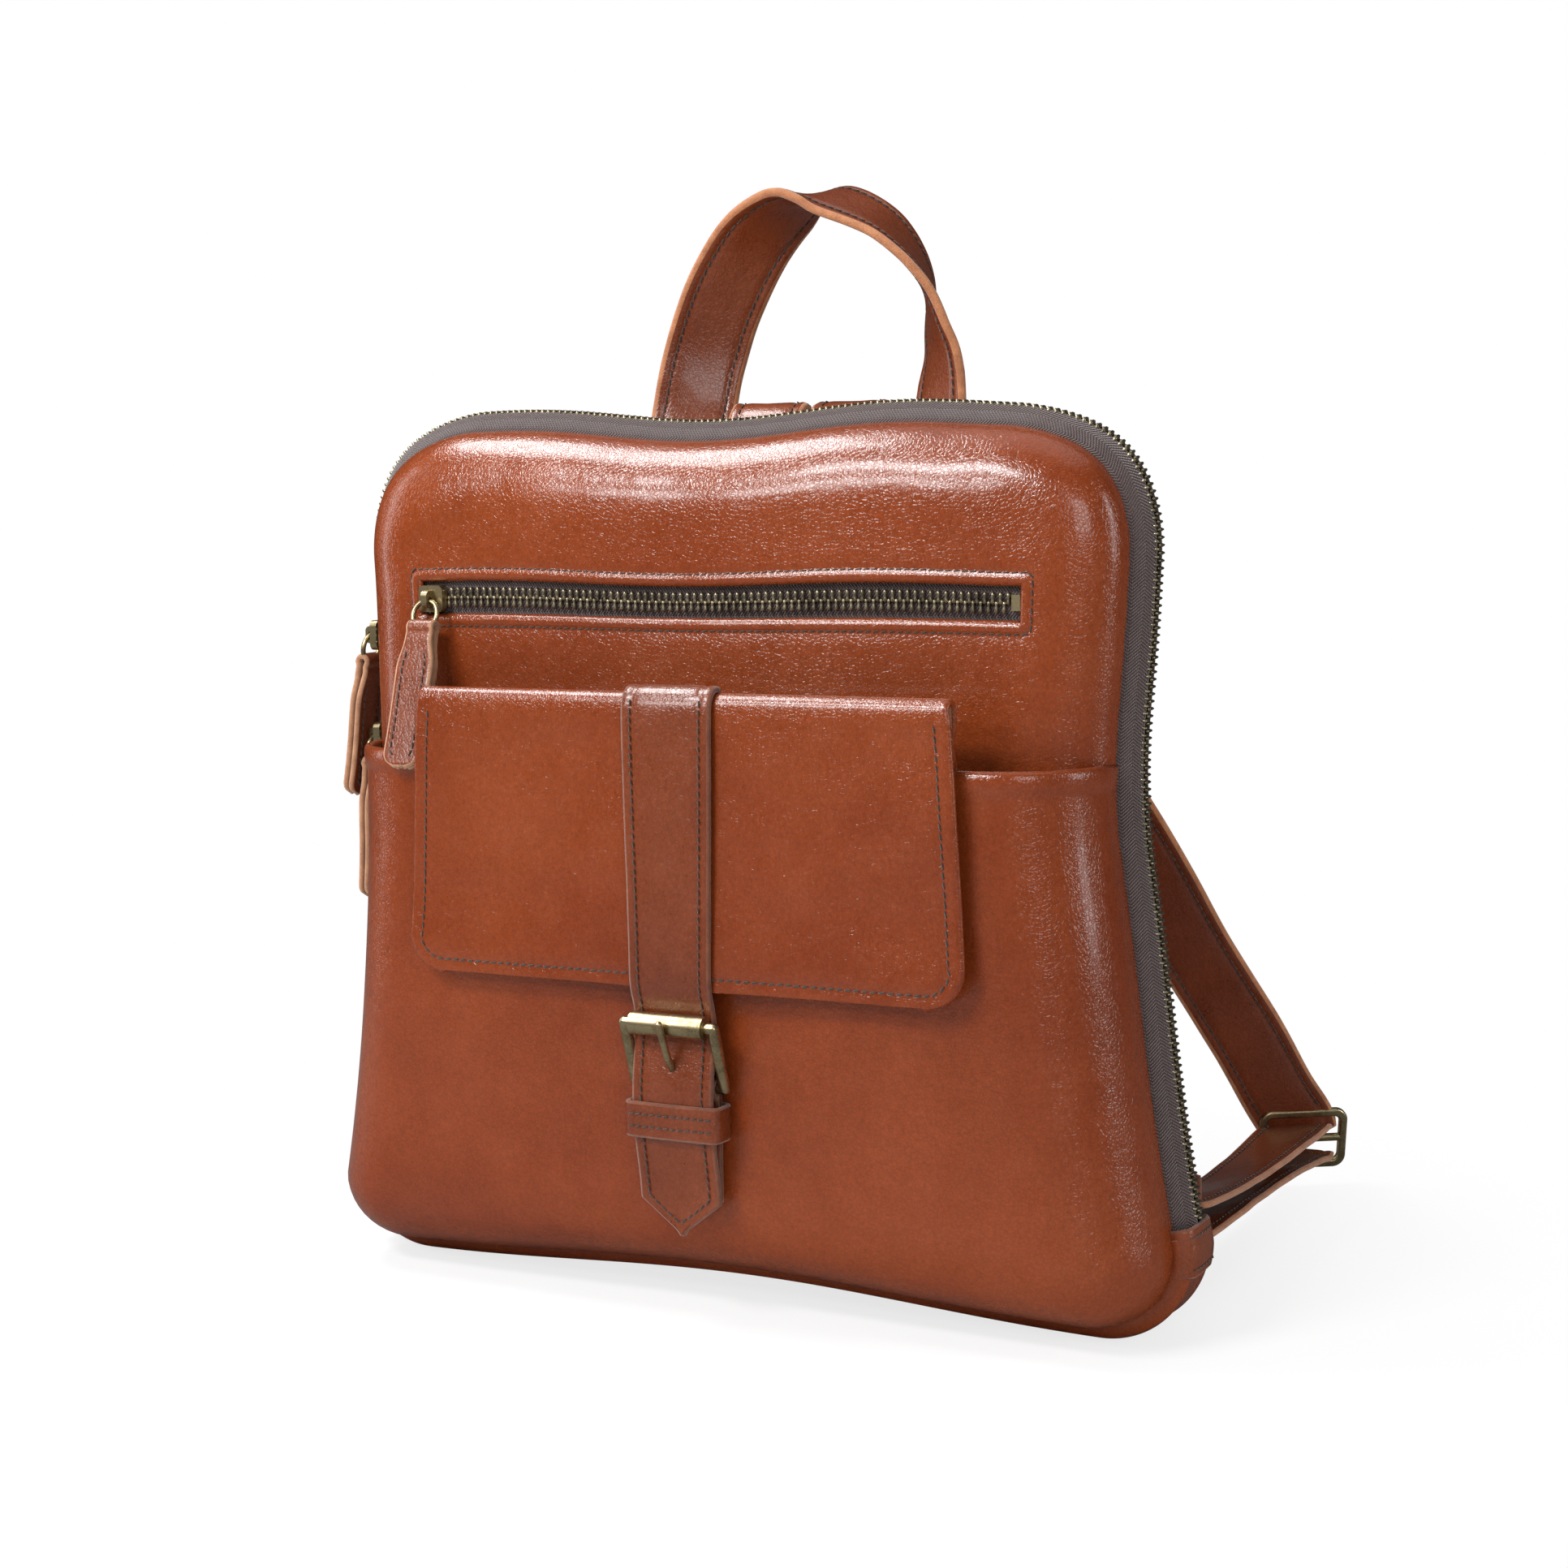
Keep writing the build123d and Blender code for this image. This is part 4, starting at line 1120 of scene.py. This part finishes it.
def build_pull(name, node, body, pivot, hang, across):
    """A leather tab folded over its ring, stitched round its edge."""
    pivot, hang, across = (np.array(v, float) for v in (pivot, hang, across))
    hang, across = unit(hang), unit(across)
    out = unit(np.cross(hang, across))
    length = 50.0
    loop = [(2.1 * math.sin(a), -2.1 * math.cos(a)) for a in np.linspace(-2.35, 2.35, 12)]
    front = [(-1.25, length), (-1.3, 34.0), (-1.3, 18.0), (-1.4, 8.0), (-1.7, 4.0)]
    route = front + [(s, c) for s, c in loop] + [(-s, c) for s, c in reversed(front)]
    route = np.array([pivot + out * s + hang * c for s, c in route])
    path = catmull(route, 110)
    down = (path - pivot) @ hang
    half = 4.6 + 2.1 * smoothstep(3, 15, down)
    end = np.clip(length - down, 0, 4.5)
    half = half - 4.5 + np.sqrt(np.maximum(4.5 ** 2 - (4.5 - end) ** 2, 0.05))
    grid = ribbon_grid(path, np.tile(across, (len(path), 1)), half, strap_offsets(6.7, 2.2))
    grid += (0.35 * np.sin(down / 9.0 + 1.0) * smoothstep(8, 30, down))[:, None, None] * out
    middle = tuple(grid.reshape(-1, 3).mean(axis=0))
    piece = sheet_piece(name, grid, 2.1, [LEATHER_STRAP, SUEDE, SUEDE], body, middle, (node,))
    lines = []
    z = np.linspace(9.0, length - 3.2, 40)
    for edge in (-1, 1):
        reach = 4.6 + 2.1 * smoothstep(3, 15, z) - 2.1
        reach = reach * np.sqrt(np.clip((length - 1.2 - z) / 4.0, 0.25, 1))
        for face in (-1, 1):
            bow = 0.35 * np.sin(z / 9.0 + 1.0) * smoothstep(8, 30, z)
            points = pivot + np.outer(z, hang) + np.outer(edge * reach, across) + np.outer(face * 2.4 + bow,
                    out)
            lines.append((points, np.tile(out * face, (len(z), 1))))
    placed, faces = stitch_points(lines, pitch=3.0, radius=0.33)
    make_piece(name + "_stitches", placed, faces, [THREAD], body)


def build_pulls():
    for name, node, body, joint, lean, sideways in (
            ("window_pull_leather", "front_pull", "window_pull", "window_pull_swing", 18.0, False),
            ("upper_pull_leather", "upper_pull", "upper_slider_pull", "upper_pull_swing", 8.5, True),
            ("lower_pull_leather", "lower_pull", "lower_slider_pull", "lower_pull_swing", 3.0, True)):
        pivot = np.array(joint_place(joint)) / MM
        tilt = math.radians(lean)
        hang = (-math.sin(tilt), 0, -math.cos(tilt)) if sideways else (0, -math.sin(tilt), -math.cos(tilt))
        across = (0.0, -1.0, 0.0) if sideways else (1.0, 0.0, 0.0)
        build_pull(name, node, body, pivot, hang, across)


# ---------------------------------------------------------------- handle and shoulder straps

def turned_directions(directions, count):
    """Unit directions that turn evenly from one given direction to the next."""
    directions = np.asarray(directions, float)
    places = np.linspace(0, 1, len(directions))
    wanted = np.linspace(0, 1, count)
    return unit(np.stack([np.interp(wanted, places, directions[:, k]) for k in range(3)], 1))


def build_handle():
    root = [(49.8, 46.8, 262.0), (49.8, 46.8, 272.0), (49.8, 47.4, 286.0)]
    left = [(-x, y, z) for x, y, z in root]
    left += [(-49.6, 56.5, 309), (-46.5, 60.5, 330), (-39, 62, 351), (-27, 63, 370.5), (-13.5, 64, 382)]
    right = [(8.5, 64.5, 384), (24, 64.5, 376), (35.5, 64, 364.5), (42.5, 63.5, 352), (46.5, 62, 337),
             (49.2, 60, 325),
             (49.8, 56.5, 309)]
    path = catmull(left + [(-2.5, 64.5, 386)] + right + root[::-1], 190)
    height = [(0, 0.0), (0, 0.0), (20, 0.0), (31, 0.0), (32, 0.0), (34, 0.0), (39, 0.04), (47, 0.11), (66,
            0.18),
              (94, 0.24), (108, 0.17), (126, 0.09), (142, 0.05), (150, 0.0), (175, 0.0), (180, 0.0)]
    directions = [(math.cos(math.radians(a)), math.sin(math.radians(a)), rise) for a, rise in height]
    across = turned_directions(directions, len(path))
    offsets = strap_offsets(13.8)
    half = np.full(len(path), 13.8)
    grid = ribbon_grid(path, across, half, offsets)
    thickness = np.repeat(puffed(offsets, 13.8, 3.7)[None, :], len(path), 0)
    grid[..., 1] += 0.3 * bumpy(grid, 14.0, 81)
    piece = sheet_piece("handle_leather", grid, thickness, [LEATHER_STRAP, LEATHER_STRAP, RAW_EDGE], None,
                        replaces=("handle_strap", "handle_roots"))
    blend_up(piece)
    lines = strap_stitches(path, across, half, 3.5, inset=3.0, sides=(1, -1), trim=12)
    placed, faces = stitch_points(lines, pitch=3.3, radius=0.38)
    stitches = make_piece("handle_stitches", placed, faces, [THREAD], None)
    blend_up(stitches)


def blend_up(piece):
    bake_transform(piece)


def mirror_points(points, side):
    points = np.array(points, float)
    points[..., 0] *= side
    return points


def build_shoulder(side, word):
    route = [(16, 46.8, 262), (16, 46.8, 285), (16, 47.2, 299), (16.3, 50.5, 308), (17, 58, 310.5), (21, 71,
            298),
             (42, 96, 252), (67, 124, 194), (91, 150, 139), (106, 167.5, 100), (122, 186, 63), (131, 196, 40),
             (137, 202.5, 27), (138.3, 204.6, 21.5)]
    path = mirror_points(catmull(route, 210), side)
    directions = [(1, 0, 0), (1, 0, 0), (0.95, 0.3, 0), (0.83, 0.557, 0)]
    across = mirror_points(turned_directions(directions, len(path)), side)
    offsets = strap_offsets(13.5)
    half = np.full(len(path), 13.5)
    grid = ribbon_grid(path, across, half, offsets)
    z = grid[..., 2]
    grid[..., 1] += (0.5 * bumpy(grid, 20.0, 91 + side)) * smoothstep(300, 285, z)
    thickness = np.repeat(puffed(offsets, 13.5, 3.4)[None, :], len(path), 0)
    replaced = ["shoulder_strap_" + word] + (["strap_roots"] if side > 0 else [])
    piece = sheet_piece("shoulder_strap_" + word + "_leather", grid, thickness,
                        [LEATHER_STRAP, LEATHER_STRAP, RAW_EDGE], None, replaces=replaced)
    shoulder_blend(piece)
    lines = strap_stitches(path, across, half, 3.3, inset=2.8, sides=(1, -1), trim=4)
    placed, faces = stitch_points(lines, pitch=3.3, radius=0.36)
    stitches = make_piece("shoulder_strap_" + word + "_stitches", placed, faces, [THREAD], None)
    shoulder_blend(stitches)


def shoulder_blend(piece):
    """Bakes the piece's placement into its mesh."""
    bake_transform(piece)


def tail_blend(piece):
    """Bakes the piece's placement into its mesh."""
    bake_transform(piece)


def build_tail(side, word):
    upper = [(138, 47.0, 33.5), (139, 56, 32), (140, 98, 26.8), (140, 143, 26.0), (138.5, 188, 26.0),
             (137.5, 201, 25.0)]
    lower = [(138, 47.0, 22), (138.5, 56, 21), (139, 98, 18.5), (139, 143, 17.2), (138.5, 188, 14.6), (138,
            202, 15.5)]
    directions = [(1, 0, 0), (0.97, 0.1, 0.22), (0.95, 0.25, 0.18), (0.83, 0.557, 0.05)]
    for part, route in (("upper", upper), ("lower", lower)):
        path = mirror_points(catmull(route, 90), side)
        across = mirror_points(turned_directions(directions, len(path)), side)
        offsets = strap_offsets(13.2)
        half = np.full(len(path), 13.2)
        grid = ribbon_grid(path, across, half, offsets)
        grid[..., 2] += 0.4 * bumpy(grid, 20.0, 95)
        thickness = np.repeat(puffed(offsets, 13.2, 2.6)[None, :], len(path), 0)
        piece = sheet_piece(f"strap_tail_{word}_{part}", grid, thickness, [LEATHER_STRAP, LEATHER_STRAP,
                RAW_EDGE],
                            None)
        tail_blend(piece)
        if part == "upper":
            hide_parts("strap_tail_" + word)
        lines = strap_stitches(path, across, half, 2.5, inset=2.8, sides=(1, -1), trim=3)
        placed, faces = stitch_points(lines, pitch=3.3, radius=0.34)
        stitches = make_piece(f"strap_tail_{word}_{part}_stitches", placed, faces, [THREAD], None)
        tail_blend(stitches)


def patch(name, low, high, y, body, node=None, thickness=2.4):
    """A flat stitched leather patch on the back, between two (x, z) corners."""
    x = np.concatenate([low[0] + np.array([0, 1, 2, 3, 4.5, 6]), np.linspace(low[0] + 8, high[0] - 8, 12),
                        high[0] - np.array([6, 4.5, 3, 2, 1, 0])])
    z = np.concatenate([low[1] + np.array([0, 1, 2, 3, 4.5]), np.linspace(low[1] + 6, high[1] - 6, 8),
                        high[1] - np.array([4.5, 3, 2, 1, 0])])
    grid = np.zeros((len(z), len(x), 3))
    grid[..., 0] = x[None, :]
    grid[..., 2] = z[:, None]
    distance = np.minimum(np.minimum(grid[..., 0] - low[0], high[0] - grid[..., 0]),
                          np.minimum(grid[..., 2] - low[1], high[1] - grid[..., 2]))
    grid[..., 1] = y + 0.3 * bumpy(grid, 25.0, 33)
    depth = thickness * (1 - 0.25 * np.exp(-((distance - 3) / 0.8) ** 2))
    replaced = (node,) if node else ()
    piece = sheet_piece(name, grid, depth, [LEATHER_STRAP, SUEDE, DARK_EDGE], body,
                        replaces=replaced)
    inset = 3.0
    corners = np.array([(low[0] + inset, low[1] + inset), (high[0] - inset, low[1] + inset),
                        (high[0] - inset, high[1] - inset), (low[0] + inset, high[1] - inset),
                        (low[0] + inset, low[1] + inset)])
    line = resample(corners, 200)
    points = np.stack([line[:, 0], np.full(200, y + thickness / 2 + 0.05), line[:, 1]], 1)
    placed, faces = stitch_points([(points, np.tile([0.0, 1.0, 0.0], (200, 1)))])
    make_piece(name + "_stitches", placed, faces, [THREAD], body)


def build_patches():
    low, high = mm_box("strap_yoke")
    patch("strap_yoke_leather", (low[0], low[2]), (high[0], high[2]), (low[1] + high[1]) / 2, "bag_back",
          "strap_yoke")
    low, high = mm_box("anchor_tabs")
    for side, word in ((-1, "left"), (1, "right")):
        ends = sorted((side * (high[0] - 24), side * high[0]))
        patch("anchor_tab_" + word, (ends[0], low[2]), (ends[1], high[2]), 43.5, "bag_back",
              "anchor_tabs" if side < 0 else None)
    patch("strap_cover_patch", (-60.0, 260.0), (60.0, 283.0), 49.9, "bag_back", None, 2.2)


# ---------------------------------------------------------------- inside the bag

def cloth_panel(name, node, body, y, x_range, z_range, material, thickness=1.0, returns=0.0):
    """A sheet of cloth; its sides and bottom turn back by returns, as a sewn pocket's do."""
    fold = 5.0
    edge = np.array([0.0, 1.0, 2.0, 3.0, 4.0, fold])
    x = np.concatenate([x_range[0] + edge, np.linspace(x_range[0] + 8, x_range[1] - 8, 36),
                        (x_range[1] - edge)[::-1]])
    z = np.concatenate([z_range[0] + edge, np.linspace(z_range[0] + 8, z_range[1], 46)])
    grid = np.zeros((len(z), len(x), 3))
    grid[..., 0] = x[None, :]
    grid[..., 2] = z[:, None]
    side = np.minimum(grid[..., 0] - x_range[0], x_range[1] - grid[..., 0])
    reach = np.minimum(side, grid[..., 2] - z_range[0])
    grid[..., 1] = y + 0.6 * bumpy(grid, 35.0, 55) + returns * (1 - smoothstep(0, fold, reach))
    piece = sheet_piece(name, grid, thickness, [material], body, replaces=(node,))
    return piece


def build_inside():
    low, high = mm_box("laptop_sleeve")
    cloth_panel("laptop_sleeve_cloth", "laptop_sleeve", "bag_back", 28.9, (low[0] + 1, high[0] - 1),
                (low[2] + 1, high[2] - 1), LINING, 1.6, 5.8)
    low, high = mm_box("back_padding")
    pad = cloth_panel("back_padding_felt", "back_padding", "bag_back", 37.4, (low[0] + 22, high[0] - 22),
                      (low[2] + 12, high[2] - 6), FELT, 2.6)
    low, high = mm_box("base_board")
    x = np.linspace(low[0], high[0], 40)
    grid = np.zeros((len(x), 6, 3))
    grid[..., 0] = x[:, None]
    grid[..., 1] = np.linspace(low[1] + 1, high[1] - 1, 6)[None, :]
    grid[..., 2] = (low[2] + high[2]) / 2 + 5.4 * np.cos(math.pi * np.clip(x / 280, -0.5, 0.5))[:, None] ** 2
    piece = sheet_piece("base_board_sheet", grid, 1.8, [BOARD], "bag_back", replaces=("base_board",))
    build_zip_bag()
    low, high = mm_box("front_lining")
    cloth_panel("front_lining_cloth", "front_lining", "bag_front", -11.4, (low[0] + 26, high[0] - 26),
                (low[2] + 8, high[2] - 14), LINING, 0.9)


def build_zip_bag():
    """The cloth pocket behind the window, as two walls joined along their rims."""
    low, high = mm_box("zip_pocket_bag")
    x = np.linspace(low[0] + 1, high[0] - 1, 36)
    rear = [(-13.0, z) for z in np.linspace(high[2] - 2, low[2] + 3, 26)]
    turn = [(-14.5, low[2] + 1.2), (-18.0, low[2] + 0.8), (-21.8, low[2] + 1.4)]
    front = [(-23.3, z) for z in np.linspace(low[2] + 3, WINDOW_Z - 8, 22)]
    profile = np.array(rear + turn + front)
    grid = np.zeros((len(profile), len(x), 3))
    grid[..., 0] = x[None, :]
    grid[..., 1] = profile[:, 0][:, None]
    grid[..., 2] = profile[:, 1][:, None]
    grid[..., 1] += 0.4 * bumpy(grid, 30.0, 57)
    piece = sheet_piece("zip_pocket_cloth", grid, 0.8, [LINING], "bag_front",
                        replaces=("zip_pocket_bag",))


# ---------------------------------------------------------------- metal carried over from the frame

def dress_metal():
    nodes = ["buckle_frame", "buckle_roller", "buckle_prong", "front_slider", "front_ring",
             "main_slider_upper",
             "upper_ring", "main_slider_lower", "lower_ring", "strap_adjuster_right", "strap_adjuster_left",
             "window_stops", "snap_base", "snap_cap"]
    for name in nodes:
        metal = bpy.data.objects[name].data
        metal.materials.clear()
        metal.materials.append(BRASS)


# ---------------------------------------------------------------- studio

def build_floor():
    """A white floor that fades to pure white away from the bag, like a seamless backdrop."""
    mesh = bpy.data.meshes.new("studio_floor")
    size = 30.0
    mesh.from_pydata([(-size, -size, 0), (size, -size, 0), (size, size, 0), (-size, size, 0)], [], [(0, 1,
            2, 3)])
    floor = bpy.data.objects.new("studio_floor", mesh)
    bpy.context.scene.collection.objects.link(floor)
    g = Graph("white_floor")
    g.shader.inputs["Base Color"].default_value = (0.95, 0.95, 0.95, 1)
    g.shader.inputs["Roughness"].default_value = 0.7
    g.shader.inputs["Specular IOR Level"].default_value = 0.1
    glow = g.node("Emission")
    glow.inputs["Strength"].default_value = 1.0
    place = g.node("TexCoord").outputs["Object"]
    distance = g.node("VectorMath", operation="LENGTH")
    g.link(place, distance.inputs[0])
    share = g.remap(distance.outputs["Value"], 0.14, 0.34, 0.76, 1.0)
    rays = g.node("LightPath")
    seen = rays.outputs["Is Camera Ray"]
    dim = g.remap(rays.outputs["Is Glossy Ray"], 0.0, 1.0, 0.95, 0.15)
    shade = g.node("CombineColor")
    for socket in shade.inputs:
        g.link(dim, socket)
    g.link(shade.outputs[0], g.shader.inputs["Base Color"])
    mixer = g.node("MixShader")
    g.link(g.math("MULTIPLY", share, seen), mixer.inputs[0])
    g.link(g.shader.outputs[0], mixer.inputs[1])
    g.link(glow.outputs[0], mixer.inputs[2])
    g.link(mixer.outputs[0], g.output.inputs[0])
    mesh.materials.append(g.material)


def add_light(name, place, target, size, power, colour=(1, 1, 1)):
    data = bpy.data.lights.new(name, "AREA")
    data.shape = "RECTANGLE"
    data.size, data.size_y = size
    data.energy = power
    data.color = colour
    light = bpy.data.objects.new(name, data)
    light.location = place
    direction = Vector(target) - Vector(place)
    light.rotation_euler = direction.to_track_quat("-Z", "Y").to_euler()
    bpy.context.scene.collection.objects.link(light)


def build_light():
    world = bpy.data.worlds.new("studio")
    bpy.context.scene.world = world
    world.use_nodes = True
    tree = world.node_tree
    background = tree.nodes["Background"]
    background.inputs[0].default_value = (1, 1, 1, 1)
    path = tree.nodes.new("ShaderNodeLightPath")
    level = 0.20
    for ray, strength in (("Is Glossy Ray", 0.05), ("Is Camera Ray", 1.0)):
        mix = tree.nodes.new("ShaderNodeMix")
        tree.links.new(path.outputs[ray], mix.inputs[0])
        mix.inputs[3].default_value = strength
        if isinstance(level, float):
            mix.inputs[2].default_value = level
        else:
            tree.links.new(level, mix.inputs[2])
        level = mix.outputs[0]
    tree.links.new(level, background.inputs[1])
    add_light("key_top", (-0.30, -0.88, 1.00), (0, 0, 0.24), (0.55, 0.20), 12)
    add_light("panel_glow", (-0.46, -1.02, 0.68), (0.02, -0.03, 0.27), (0.34, 0.16), 4.0)
    add_light("fold_strip", (-0.62, -0.10, 1.25), (0, 0, 0.21), (0.60, 0.30), 11)
    add_light("over_bag", (0.0, 0.15, 1.6), (0, 0, 0.1), (1.6, 1.2), 5)
    add_light("side_left", (-1.2, -0.25, 0.50), (0, 0, 0.16), (0.22, 0.9), 2.2)
    add_light("front_right", (1.05, -1.25, 0.75), (0, 0, 0.14), (0.60, 0.6), 6.0)
    add_light("side_right", (1.35, 0.15, 0.55), (0, 0, 0.16), (0.25, 0.9), 4.5)
    bpy.context.scene.view_settings.view_transform = "Standard"


def build_camera():
    azimuth, roll = math.radians(27.34), math.radians(-1.01)
    place, target = Vector((0.4520, -0.8463, 0.2904)), Vector((0.0147, 0.0, 0.1802))
    forward = (target - place).normalized()
    right = Vector((math.cos(azimuth), math.sin(azimuth), 0))
    up = right.cross(forward).normalized()
    turned_right = right * math.cos(roll) + up * math.sin(roll)
    turned_up = up * math.cos(roll) - right * math.sin(roll)
    data = bpy.data.cameras.new("camera")
    data.sensor_width = 36.0
    data.lens = 63.4
    camera = bpy.data.objects.new("camera", data)
    matrix = camera.matrix_world.copy()
    for row in range(3):
        matrix[row][0], matrix[row][1], matrix[row][2] = turned_right[row], turned_up[row], -forward[row]
        matrix[row][3] = place[row]
    camera.matrix_world = matrix
    bpy.context.scene.collection.objects.link(camera)
    bpy.context.scene.camera = camera


build_camera()
build_floor()
build_light()
build_front_panel()
build_pocket_panel()
build_back_panel()
build_tape("main_tape_front_cloth", -1, "bag_front", "main_tape_front")
build_tape("main_tape_back_cloth", 1, "bag_back", "main_tape_back")
build_main_teeth("main_teeth_front_row", -1, "bag_front", "main_teeth_front")
build_main_teeth("main_teeth_back_row", 1, "bag_back", "main_teeth_back")
build_base()
build_window()
build_flap()
build_flap_strap()
build_keeper()
build_chape()
build_pulls()
build_handle()
for side, word in ((1, "right"), (-1, "left")):
    build_shoulder(side, word)
    build_tail(side, word)
build_patches()
build_inside()
dress_metal()
